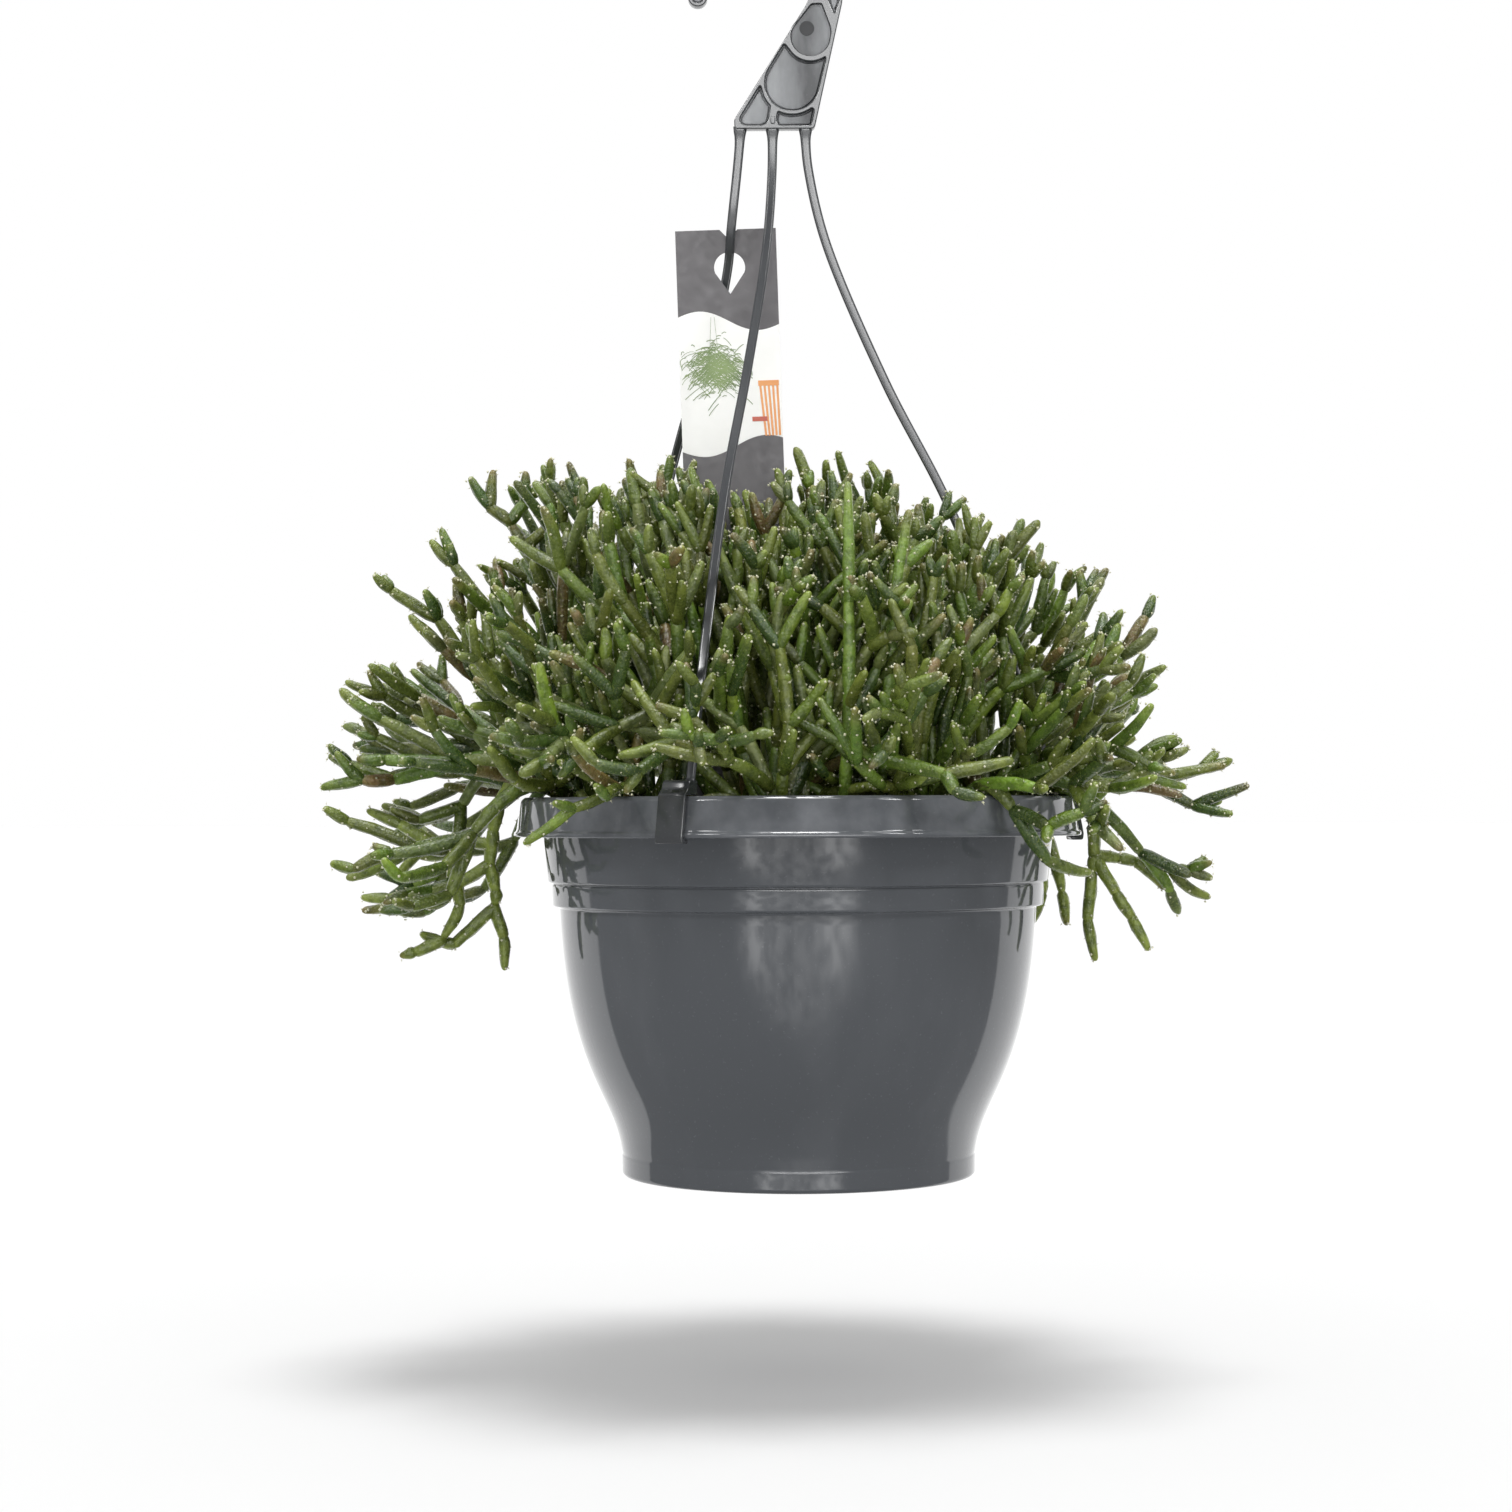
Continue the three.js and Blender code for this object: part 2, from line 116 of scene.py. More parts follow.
def smooth_path(points: Sequence[Sequence[float]], count: int) -> Array:
    """Draw a smooth curve through points, evenly stepped along its length.

    Args:
        points: The points that the curve passes through.
        count: How many points to return.

    Returns:
        The curve's points, one to a row.
    """
    knots = np.asarray(points, float)
    gaps = np.sqrt(np.linalg.norm(np.diff(knots, axis=0), axis=1))
    times = np.concatenate([[0.0], np.cumsum(gaps)])
    slopes = np.gradient(knots, times, axis=0)
    fine = np.linspace(0, times[-1], 160 * len(knots))
    span = np.clip(np.searchsorted(times, fine, side="right") - 1, 0, len(gaps) - 1)
    width = gaps[span]
    share = ((fine - times[span]) / width)[:, None]
    width = width[:, None]
    square, cube = share**2, share**3
    curve = (
        (2 * cube - 3 * square + 1) * knots[span]
        + (cube - 2 * square + share) * width * slopes[span]
        + (3 * square - 2 * cube) * knots[span + 1]
        + (cube - square) * width * slopes[span + 1]
    )
    run = np.concatenate([[0.0], np.cumsum(np.linalg.norm(np.diff(curve, axis=0), axis=1))])
    even = np.linspace(0, run[-1], count)
    return np.stack([np.interp(even, run, curve[:, axis]) for axis in range(knots.shape[1])], axis=1)


def arc(centre: Sequence[float], radius: float, start: float, end: float, steps: int = 14) -> Points:
    """Points along a circular arc in the plane.

    Args:
        centre: The arc's centre.
        radius: Its radius.
        start: Where it begins, in degrees.
        end: Where it ends, in degrees.
        steps: How many equal steps it takes.

    Returns:
        The arc's points, its ends included.
    """
    angles = np.radians(np.linspace(start, end, steps + 1))
    return [[centre[0] + radius * math.cos(a), centre[1] + radius * math.sin(a)] for a in angles]


def rounded(outline: Sequence[Sequence[float]], radius: float, steps: int = 3, closed: bool = True) -> Array:
    """Round the corners of an outline.

    Args:
        outline: The outline's corners.
        radius: How far from a corner its rounding begins.
        steps: Steps in each rounding.
        closed: Whether the last corner joins the first.

    Returns:
        The outline with small arcs at its corners.
    """
    corners = np.asarray(outline, float)
    count = len(corners)
    result = []
    for i, corner in enumerate(corners):
        if not closed and i in (0, count - 1):
            result.append(corner)
            continue
        before, after = corners[i - 1] - corner, corners[(i + 1) % count] - corner
        back, ahead = np.linalg.norm(before), np.linalg.norm(after)
        turn = math.acos(np.clip(-before @ after / max(back * ahead, 1e-12), -1, 1))
        if turn < math.radians(9):
            result.append(corner)
            continue
        first = corner + before / back * min(radius, 0.45 * back)
        last = corner + after / ahead * min(radius, 0.45 * ahead)
        for share in np.linspace(0, 1, steps + 1):
            result.append(bent(first, corner, last, share))
    return np.array(result)


def bent(start: Array, bend: Array, end: Array, share: Array) -> Array:
    """Points on a curve from one point to another.

    Args:
        start: Where it begins.
        bend: The point that pulls it aside.
        end: Where it ends.
        share: How far along it each point is, from 0 to 1.

    Returns:
        The points.
    """
    return (1 - share) ** 2 * start + 2 * share * (1 - share) * bend + share**2 * end


def bent_heading(start: Array, bend: Array, end: Array, share: Array) -> Array:
    """Unit headings along the curve that ``bent`` draws.

    Args:
        start: Where it begins.
        bend: The point that pulls it aside.
        end: Where it ends.
        share: How far along it each heading is taken, from 0 to 1.

    Returns:
        The headings.
    """
    return unit(2 * (1 - share) * (bend - start) + 2 * share * (end - bend))


def crosswise(heading: Array, mean: Optional[Array] = None) -> tuple[Array, Array]:
    """Two directions at right angles to each heading.

    Args:
        heading: Unit headings.
        mean: The headings that decide which way is over, or None to use the headings themselves.

    Returns:
        The direction across each heading and the direction over it.
    """
    steep = np.abs((heading if mean is None else mean)[..., 2:])
    across = unit(np.cross(np.where(steep < 0.8, UP, SIDEWAYS), heading))
    return across, np.cross(heading, across)


# ---------------------------------------------------------------- meshes


@dataclass
class MeshParts:
    """Points, faces, finish numbers and tones gathered for one object."""

    points: list[Array] = field(default_factory=list)
    faces: list[tuple[Array, int]] = field(default_factory=list)
    tones: list[Array] = field(default_factory=list)
    count: int = 0

    def add(
        self, points: Array, faces: Sequence[Array], finish: int = 0, tone: Optional[Array] = None
    ) -> None:
        """Add a body.

        Args:
            points: Its points, one to a row.
            faces: Arrays of faces, each array's faces having one number of corners.
            finish: The number of its material in the object's list.
            tone: A colour for every point, or one colour for all of them.
        """
        colour = np.ones((len(points), 3)) if tone is None else np.broadcast_to(tone, (len(points), 3))
        self.points.append(np.asarray(points, float))
        self.tones.append(np.asarray(colour, float))
        self.faces += [(np.asarray(group, int) + self.count, finish) for group in faces if len(group)]
        self.count += len(points)

    def add_mesh(self, mesh: bpy.types.Mesh, finish: int = 0, tone: Optional[Array] = None) -> None:
        """Add a Blender mesh and remove it from the file.

        Args:
            mesh: The mesh.
            finish: The number of its material in the object's list.
            tone: A colour for every point, or one colour for all of them.
        """
        points = np.array([v.co for v in mesh.vertices])
        sizes: dict[int, list[list[int]]] = {}
        for face in mesh.polygons:
            sizes.setdefault(len(face.vertices), []).append(list(face.vertices))
        self.add(points, [np.array(group) for group in sizes.values()], finish, tone)
        bpy.data.meshes.remove(mesh)

    def build(
        self, name: str, materials: Sequence[bpy.types.Material], smooth: bool = True
    ) -> bpy.types.Object:
        """Make the object.

        Args:
            name: The piece's name.
            materials: Its materials, in the order of the finish numbers.
            smooth: Whether its faces are shaded smooth.

        Returns:
            The new object, in the scene.
        """
        points, tones = np.concatenate(self.points), np.concatenate(self.tones)
        mesh = bpy.data.meshes.new(name)
        mesh.vertices.add(len(points))
        mesh.vertices.foreach_set("co", points.astype(np.float32).ravel())
        sizes = np.concatenate([np.full(len(group), group.shape[1]) for group, _ in self.faces])
        corners = np.concatenate([group.ravel() for group, _ in self.faces])
        finishes = np.concatenate([np.full(len(group), finish) for group, finish in self.faces])
        mesh.loops.add(len(corners))
        mesh.loops.foreach_set("vertex_index", corners.astype(np.int32))
        mesh.polygons.add(len(sizes))
        mesh.polygons.foreach_set("loop_start", (np.cumsum(sizes) - sizes).astype(np.int32))
        mesh.polygons.foreach_set("material_index", finishes.astype(np.int32))
        mesh.polygons.foreach_set("use_smooth", np.full(len(sizes), smooth))
        tone = mesh.attributes.new("tone", "FLOAT_COLOR", "POINT")
        tone.data.foreach_set("color", np.c_[tones, np.ones(len(tones))].astype(np.float32).ravel())
        mesh.update(calc_edges=True)
        mesh.validate()
        for material in materials:
            mesh.materials.append(material)
        piece = bpy.data.objects.new(name, mesh)
        bpy.context.scene.collection.objects.link(piece)
        return piece


def place(piece: bpy.types.Object, slot: Slot, *nodes: str) -> bpy.types.Object:
    """Fix a finished piece to the body and report it.

    Args:
        piece: The finished object.
        slot: The material slot that it takes its finish from; not used.
        nodes: The CAD nodes that it stands for.

    Returns:
        The piece.
    """
    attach(piece, BODY)
    if nodes:
        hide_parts(*nodes)
    stands_for = ", ".join(nodes) or "nothing"
    log.info("%s: %d faces, in place of %s", piece.name, len(piece.data.polygons), stands_for)
    return piece


def tube_faces(rings: int, sides: int) -> tuple[Array, Array]:
    """The faces of a closed tube whose rings are followed by its two poles.

    Args:
        rings: How many rings of points it has.
        sides: How many points a ring has.

    Returns:
        The four-sided faces round it and the triangles that close its ends.
    """
    here = np.arange(sides)
    there = (here + 1) % sides
    step = (np.arange(rings - 1) * sides)[:, None]
    quads = np.stack([step + here, step + there, step + sides + there, step + sides + here], -1)
    top, pole = (rings - 1) * sides, rings * sides
    start = np.stack([np.full(sides, pole), there, here], axis=1)
    end = np.stack([np.full(sides, pole + 1), top + here, top + there], axis=1)
    return quads.reshape(-1, 4), np.concatenate([start, end])


def lathe(profile: Array, sectors: int) -> tuple[Array, list[Array]]:
    """Turn a profile about the Z axis.

    Args:
        profile: Radius and height, row by row, from the axis back to the axis.
        sectors: Steps round the axis.

    Returns:
        The points and the faces.
    """
    angles = np.linspace(0, 2 * math.pi, sectors, endpoint=False)
    rings = profile[1:-1]
    around = np.stack([np.cos(angles), np.sin(angles)], axis=1)
    body = np.concatenate([np.c_[radius * around, np.full(sectors, height)] for radius, height in rings])
    poles = np.array([[0, 0, profile[0][1]], [0, 0, profile[-1][1]]])
    return np.concatenate([body, poles]), [*tube_faces(len(rings), sectors)]


def sweep(path: Array, section: Array, facing: Array) -> tuple[Array, list[Array]]:
    """Carry a section along a path.

    Args:
        path: The path's points.
        section: The section's outline: across, then outwards, anticlockwise.
        facing: For each point of the path, roughly where the section's outward side looks.

    Returns:
        The closed body's points and faces.
    """
    along = unit(np.gradient(path, axis=0))
    across = unit(np.cross(facing, along))
    outward = np.cross(along, across)
    rings = path[:, None] + section[None, :, :1] * across[:, None] + section[None, :, 1:] * outward[:, None]
    count, corners = len(path), len(section)
    here = np.arange(corners)
    caps = [here[None, ::-1], (here + (count - 1) * corners)[None]]
    return rings.reshape(-1, 3), [tube_faces(count, corners)[0], *caps]


def flat_body(outlines: Sequence[Array], depth: float, bevel: float, inset: float = 0.0) -> bpy.types.Mesh:
    """A plate standing in the XZ plane, with rounded edges and the inner outlines cut through.

    Args:
        outlines: The outer outline, then any holes, as X and Z.
        depth: The whole thickness along Y.
        bevel: The radius of the edges' rounding.
        inset: How far inside the outlines its sides stand.

    Returns:
        The plate's mesh, centred on Y = 0.
    """
    curve = bpy.data.curves.new("outline", "CURVE")
    curve.dimensions = "2D"
    curve.fill_mode = "BOTH"
    curve.extrude = depth / 2 - bevel
    curve.bevel_depth = bevel
    curve.bevel_resolution = 2
    curve.offset = -bevel - inset
    for outline in outlines:
        spline = curve.splines.new("POLY")
        spline.points.add(len(outline) - 1)
        spline.use_cyclic_u = True
        flat = np.c_[np.asarray(outline), np.zeros(len(outline)), np.ones(len(outline))]
        spline.points.foreach_set("co", flat.astype(np.float32).ravel())
    holder = bpy.data.objects.new("outline", curve)
    mesh = bpy.data.meshes.new_from_object(holder)
    bpy.data.objects.remove(holder)
    bpy.data.curves.remove(curve)
    for vertex in mesh.vertices:
        x, y, z = vertex.co
        vertex.co = (x, -z, y)
    return mesh


def moved(
    mesh: bpy.types.Mesh, turn: float = 0.0, tilt: float = 0.0, shift: Sequence[float] = (0, 0, 0)
) -> bpy.types.Mesh:
    """Tilt a mesh about Y, turn it about Z, then shift it.

    Args:
        mesh: The mesh, changed in place.
        turn: Degrees about Z.
        tilt: Degrees about Y.
        shift: The move that follows.

    Returns:
        The same mesh.
    """
    cos_y, sin_y = math.cos(math.radians(tilt)), math.sin(math.radians(tilt))
    cos_z, sin_z = math.cos(math.radians(turn)), math.sin(math.radians(turn))
    about_y = np.array([[cos_y, 0, sin_y], [0, 1, 0], [-sin_y, 0, cos_y]])
    about_z = np.array([[cos_z, -sin_z, 0], [sin_z, cos_z, 0], [0, 0, 1]])
    points = np.array([v.co for v in mesh.vertices]) @ about_y.T @ about_z.T + np.asarray(shift)
    mesh.vertices.foreach_set("co", points.astype(np.float32).ravel())
    return mesh


# ---------------------------------------------------------------- finishes


@dataclass
class NodeBoard:
    """The shader nodes of a material or of the room, with short calls for the usual ones."""

    owner: bpy.types.ID

    @classmethod
    def fresh(cls, name: str) -> "NodeBoard":
        """Start a new material with only a Principled shader."""
        material = bpy.data.materials.new(name)
        material.use_nodes = True
        return cls(material)

    @property
    def shader(self) -> Node:
        """The Principled shader."""
        return self.owner.node_tree.nodes["Principled BSDF"]

    def node(self, kind: str, inputs: Optional[dict] = None, **settings: object) -> Node:
        """Add a node.

        Args:
            kind: Its type, without the "ShaderNode" prefix.
            inputs: Values or sockets for its inputs, by name or number.
            settings: Its properties.

        Returns:
            The node.
        """
        made = self.owner.node_tree.nodes.new("ShaderNode" + kind)
        for name, value in settings.items():
            setattr(made, name, value)
        for name, value in (inputs or {}).items():
            if isinstance(value, Socket):
                self.owner.node_tree.links.new(value, made.inputs[name])
            else:
                made.inputs[name].default_value = value
        return made

    def link(self, socket: Socket, name: str) -> None:
        """Join a socket to one of the shader's inputs."""
        self.owner.node_tree.links.new(socket, self.shader.inputs[name])

    def place_vector(self, stretch: Sequence[float] = (1, 1, 1)) -> Socket:
        """Object coordinates, stretched along the axes."""
        spot = self.node("TexCoord").outputs["Object"]
        return self.node("Mapping", {"Vector": spot, "Scale": tuple(stretch)}).outputs[0]

    def cloud(self, scale: float, detail: float = 3, stretch: Sequence[float] = (1, 1, 1)) -> Socket:
        """A noise value over the piece.

        Args:
            scale: How many patches there are to a metre, about.
            detail: How many finer noises lie over the first.
            stretch: How the noise is squeezed along each axis.

        Returns:
            The value's socket.
        """
        spot = self.place_vector(stretch)
        return self.node("TexNoise", {"Vector": spot, "Scale": scale, "Detail": detail}).outputs["Fac"]

    def span(self, value: Socket, low: float, high: float, to: tuple[float, float]) -> Socket:
        """Stretch a value from one range to another, clamped.

        Args:
            value: The value.
            low: Where its range begins.
            high: Where its range ends.
            to: What the two ends become.

        Returns:
            The new value's socket.
        """
        inputs = {"Value": value, "From Min": low, "From Max": high, "To Min": to[0], "To Max": to[1]}
        return self.node("MapRange", inputs).outputs[0]

    def mixed(self, share: object, first: object, second: object, blend: str = "MIX") -> Socket:
        """Mix two colours.

        Args:
            share: How much of the second, as a number or a socket.
            first: A colour or a socket.
            second: A colour or a socket.
            blend: Blender's way of mixing them.

        Returns:
            The mixed colour's socket.
        """
        made = self.node("Mix", data_type="RGBA", blend_type=blend)
        for number, value in ((0, share), (6, first), (7, second)):
            if isinstance(value, Socket):
                self.owner.node_tree.links.new(value, made.inputs[number])
            elif number == 0:
                made.inputs[number].default_value = value
            else:
                made.inputs[number].default_value = (*value, 1)
        return made.outputs[2]

    def bump(
        self, height: Socket, strength: float, distance: float, normal: Optional[Socket] = None
    ) -> Socket:
        """Turn a height into a bumped normal.

        Args:
            height: The height.
            strength: How much of the bump shows.
            distance: How high it is, in metres.
            normal: The bump that this one lies over.

        Returns:
            The normal's socket.
        """
        inputs = {"Height": height, "Strength": strength, "Distance": distance}
        if normal is not None:
            inputs["Normal"] = normal
        return self.node("Bump", inputs).outputs[0]


@dataclass(frozen=True)
class MouldedPlastic:
    """Injection-moulded plastic: a slow waviness, hairline scuffs, a pale haze and settled dust; a strong
    haze, as on the hanger's web, is painted sheen.
    """

    name: str
    colour: Colour
    dust_and_sheen: Colour
    roughness: float = 0.06
    wave: float = 0.07
    scuffs: float = 0.03
    dusty_above: float = 10.0
    haze_and_sheen: float = 0.1
    haze_and_sheen_size: float = 26.0
    haze_and_sheen_from: float = 0.52
    shine: float = 0.5

    def material(self) -> bpy.types.Material:
        """Make the material.

        Returns:
            The material.
        """
        board = NodeBoard.fresh(self.name)
        # Pale smears over the colour: a real haze film where the haze is weak, painted sheen where it is
        # strong, as on the hanger's web.
        haze_and_sheen_smears = board.cloud(self.haze_and_sheen_size, 5, (1, 1, 0.35))
        haze_and_sheen_smears = board.span(haze_and_sheen_smears, self.haze_and_sheen_from, self.haze_and_sheen_from + 0.28, (0, 1))
        specks = board.span(board.cloud(900, 2), 0.66, 0.74, (0, 1))
        dust_and_sheen_film = board.node("Math", {0: haze_and_sheen_smears, 1: self.haze_and_sheen}, operation="MULTIPLY").outputs[0]
        height = board.node("SeparateXYZ", {0: board.place_vector()}).outputs["Z"]
        settled = board.span(height, self.dusty_above, self.dusty_above + 0.002, (0, 1))
        blotches = board.span(board.cloud(75, 5), 0.36, 0.72, (0.02, 0.3))
        dust_and_sheen_film = board.node("Math", {0: settled, 1: blotches, 2: dust_and_sheen_film}, operation="MULTIPLY_ADD").outputs[0]
        dust_and_sheen_mixed = board.mixed(dust_and_sheen_film, self.colour, self.dust_and_sheen)
        faint = board.node("Math", {0: specks, 1: 0.12}, operation="MULTIPLY").outputs[0]
        board.link(board.mixed(faint, dust_and_sheen_mixed, self.dust_and_sheen), "Base Color")
        dulled = board.span(haze_and_sheen_smears, 0, 1, (0, 0.09))
        rough = board.node("Math", {0: dulled, 1: self.roughness}, operation="ADD")
        board.link(rough.outputs[0], "Roughness")
        slow = board.bump(board.cloud(16, 1, (1, 1, 0.5)), self.wave, 0.002)
        fine = board.bump(board.cloud(600, 2, (1, 1, 0.08)), self.scuffs, 0.0002, slow)
        board.link(fine, "Normal")
        board.shader.inputs["Specular IOR Level"].default_value = self.shine
        return board.owner


@dataclass(frozen=True)
class StemSkin:
    """Living stem skin: each segment's own tone, mottled, with pale flecks that are partly painted glints,
    and a waxy gloss.
    """

    name: str = "rhipsalis_stem"

    def material(self) -> bpy.types.Material:
        """Make the material.

        Returns:
            The material.
        """
        board = NodeBoard.fresh(self.name)
        tone = board.node("Attribute", attribute_name="tone").outputs["Color"]
        mottle = board.cloud(260, 4)
        fleck_and_glint_noise = board.cloud(1500, 2)
        dark = board.mixed(board.span(mottle, 0.35, 0.62, (0.55, 0)), tone, (0.024, 0.045, 0.01))
        # Pale flecks: partly the skin's own pale flecking, partly painted glints.
        pale = board.mixed(board.span(fleck_and_glint_noise, 0.56, 0.72, (0, 0.5)), dark, (0.3, 0.34, 0.09))
        board.link(pale, "Base Color")
        board.link(board.span(mottle, 0.3, 0.7, (0.17, 0.36)), "Roughness")
        pits = board.bump(board.cloud(900, 3), 0.7, 0.0007)
        board.link(board.bump(board.cloud(260, 2), 0.5, 0.0008, pits), "Normal")
        board.shader.inputs["Specular IOR Level"].default_value = 0.5
        return board.owner


@dataclass(frozen=True)
class AreoleWool:
    """The pale tufts and bristles dotted along the stems."""

    name: str = "areole_wool"

    def material(self) -> bpy.types.Material:
        """Make the material."""
        board = NodeBoard.fresh(self.name)
        shade = board.mixed(board.cloud(700, 2), (0.55, 0.54, 0.35), (0.81, 0.8, 0.61))
        board.link(shade, "Base Color")
        board.link(board.span(board.cloud(900, 1), 0.3, 0.7, (0.25, 0.5)), "Roughness")
        return board.owner


@dataclass(frozen=True)
class Peat:
    """Crumbly brown peat."""

    name: str
    dark: Colour
    light: Colour

    def material(self) -> bpy.types.Material:
        """Make the material."""
        board = NodeBoard.fresh(self.name)
        tone = board.node("Attribute", attribute_name="tone").outputs["Color"]
        crumbs = board.mixed(board.span(board.cloud(330, 5), 0.35, 0.7, (0, 1)), self.dark, self.light)
        board.link(board.mixed(1.0, crumbs, tone, "MULTIPLY"), "Base Color")
        board.link(board.span(board.cloud(200, 2), 0.3, 0.7, (0.8, 0.98)), "Roughness")
        board.link(board.bump(board.cloud(800, 4), 0.9, 0.0012), "Normal")
        return board.owner


@dataclass(frozen=True)
class PrintedCard:
    """A print on the label's thin plastic card."""

    name: str
    colour: Colour
    faded: Colour
    roughness: float = 0.38

    def material(self) -> bpy.types.Material:
        """Make the material."""
        board = NodeBoard.fresh(self.name)
        worn = board.span(board.cloud(60, 4), 0.3, 0.75, (0, 1))
        board.link(board.mixed(worn, self.colour, self.faded), "Base Color")
        rough = (self.roughness - 0.05, self.roughness + 0.08)
        board.link(board.span(board.cloud(300, 2), 0.3, 0.7, rough), "Roughness")
        board.link(board.bump(board.cloud(1400, 2), 0.06, 0.0002), "Normal")
        return board.owner


@dataclass(frozen=True)
class Finishes:
    """Every material of the plant, made once."""

    pot: bpy.types.Material
    hanger: bpy.types.Material
    web: bpy.types.Material
    disc: bpy.types.Material
    stem: bpy.types.Material
    wool: bpy.types.Material
    soil: bpy.types.Material
    plug: bpy.types.Material
    card: bpy.types.Material
    dark_print: bpy.types.Material
    green_print: bpy.types.Material
    orange_print: bpy.types.Material
    red_print: bpy.types.Material

    @classmethod
    def make(cls) -> "Finishes":
        """Make every material.

        Returns:
            The set of materials.
        """
        return cls(
            pot=MouldedPlastic(
                "pot_plastic", (0.083, 0.089, 0.098), (0.3, 0.31, 0.33), wave=0.1, dusty_above=0.1365
            ).material(),
            hanger=MouldedPlastic(
                "hanger_plastic", (0.04, 0.043, 0.047), (0.25, 0.26, 0.27), 0.2, 0.1, 0.0, shine=1.0
            ).material(),
            # The web in the sunk cells: the hanger's own plastic, painted darker as painted shade, with a
            # strong pale haze that paints patchy sheen on the cell floors.
            web=MouldedPlastic(
                "hanger_web_painted_shade_sheen",
                (0.03, 0.032, 0.035),
                (0.33, 0.34, 0.35),
                0.35,
                0.5,
                0.0,
                haze_and_sheen=0.9,
                haze_and_sheen_size=48,
                haze_and_sheen_from=0.34,
            ).material(),
            disc=MouldedPlastic("ejector_disc", (0.03, 0.031, 0.033), (0.1, 0.1, 0.1), 0.6).material(),
            stem=StemSkin().material(),
            wool=AreoleWool().material(),
            soil=Peat("potting_soil", (0.016, 0.01, 0.006), (0.085, 0.052, 0.03)).material(),
            plug=Peat("plug_peat", (0.03, 0.018, 0.01), (0.12, 0.075, 0.042)).material(),
            card=PrintedCard("label_card", (0.95, 0.95, 0.93), (0.9, 0.9, 0.87)).material(),
            dark_print=PrintedCard("label_dark", (0.07, 0.066, 0.07), (0.11, 0.105, 0.11), 0.4).material(),
            green_print=PrintedCard("label_green", (0.05, 0.1, 0.022), (0.26, 0.35, 0.14)).material(),
            orange_print=PrintedCard("label_orange", (0.74, 0.3, 0.1), (0.82, 0.42, 0.17)).material(),
            red_print=PrintedCard("label_red", (0.45, 0.09, 0.06), (0.55, 0.15, 0.09)).material(),
        )


# ---------------------------------------------------------------- pot


@dataclass
class Pot:
    """The moulded bowl with its two steps, neck and turned-down rim. Sizes in millimetres."""

    height: float = 152.8
    wall: float = 1.3
    base: float = 2.4
    flat: float = 68.4
    skirt_radius: float = 115.0
    skirt_foot: float = 137.0
    rim_radius: float = 112.0
    neck_radius: float = 103.2
    bowl: tuple = ((71.3, 5), (72.6, 33), (93.1, 36.3), (96.8, 108.4))
    drain_holes: int = 8
    drain_radius: float = 4.5
    drain_circle: float = 52.0
    sectors: int = 240

    def bowl_curve(self, offset: float, steps: int = 40) -> Points:
        """Points up the bowl.

        Args:
            offset: How far outwards they're moved.
            steps: How many equal steps the curve takes.

        Returns:
            The points, as radius and height.
        """
        foot, low, high, top = (np.array(p) + [offset, 0] for p in self.bowl)
        shares = np.linspace(0, 1, steps + 1)[:, None]
        curve = (
            (1 - shares) ** 3 * foot
            + 3 * (1 - shares) ** 2 * shares * low
            + 3 * (1 - shares) * shares**2 * high
            + shares**3 * top
        )
        return curve.tolist()

    def wall_line(self, offset: float) -> Points:
        """The wall from its foot to behind the skirt: the bowl, two moulded steps and the neck."""
        steps = [[99.6, 109.1], [99.9, 117.5], [99.5, 118.2], [101.5, 118.7], [self.neck_radius, 134.8]]
        return self.bowl_curve(offset) + [[radius + offset, height] for radius, height in steps]

    def profile(self) -> Array:
        """The whole closed profile, its corners rounded as a mould rounds them.

        Returns:
            Radius and height, row by row, in metres.
        """
        top, under = self.height, self.height - 1.8
        outline = [
            [0, 0],
            [self.flat, 0],
            [70.9, 0.3],
            [71.7, 1.4],
            [71.7, 8.3],
            [71.5, 9.0],
            *[point for point in self.wall_line(0) if point[1] > 9.5],
            [self.neck_radius + 0.5, under],
            [self.rim_radius - 1.6, under],
            [self.skirt_radius - self.wall, self.skirt_foot],
            [self.skirt_radius + 0.1, self.skirt_foot],
            [self.skirt_radius + 0.1, self.skirt_foot + 1.6],
            [self.skirt_radius - 0.9, self.skirt_foot + 2.5],
            [self.rim_radius + 0.2, top - 1.4],
            [self.rim_radius - 1.2, top],
            [self.neck_radius + 0.4, top],
            [self.neck_radius - 0.7, top - 0.9],
            *self.wall_line(-self.wall)[::-1],
            [self.flat + 0.6, self.base],
            [0, self.base],
        ]
        return rounded(outline, 0.7, 3, closed=False) * MM

    def drill(self, piece: bpy.types.Object) -> None:
        """Cut the drainage holes through the base.

        Args:
            piece: The pot, changed in place.
        """
        cutters = MeshParts()
        for i in range(self.drain_holes):
            x, y = on_circle(self.drain_circle * MM, 360 / self.drain_holes * (i + 0.5))
            drum = np.array([[0, -2], [self.drain_radius, -2], [self.drain_radius, 6], [0, 6]]) * MM
            points, faces = lathe(drum, 32)
            cutters.add(points + [x, y, 0], faces)
        cutter = cutters.build("drain_cutter", [])
        cut = piece.modifiers.new("drain", "BOOLEAN")
        cut.operation, cut.solver, cut.object = "DIFFERENCE", "EXACT", cutter
        drilled = bpy.data.meshes.new_from_object(piece.evaluated_get(bpy.context.evaluated_depsgraph_get()))
        piece.modifiers.clear()
        piece.data = drilled
        bpy.data.objects.remove(cutter)

    def build(self, finishes: Finishes) -> bpy.types.Object:
        """Make the pot."""
        parts = MeshParts()
        parts.add(*lathe(self.profile(), self.sectors))
        piece = parts.build("nursery_pot", [finishes.pot])
        self.drill(piece)
        return place(piece, Slot.POT, "pot")


# ---------------------------------------------------------------- soil and root plugs


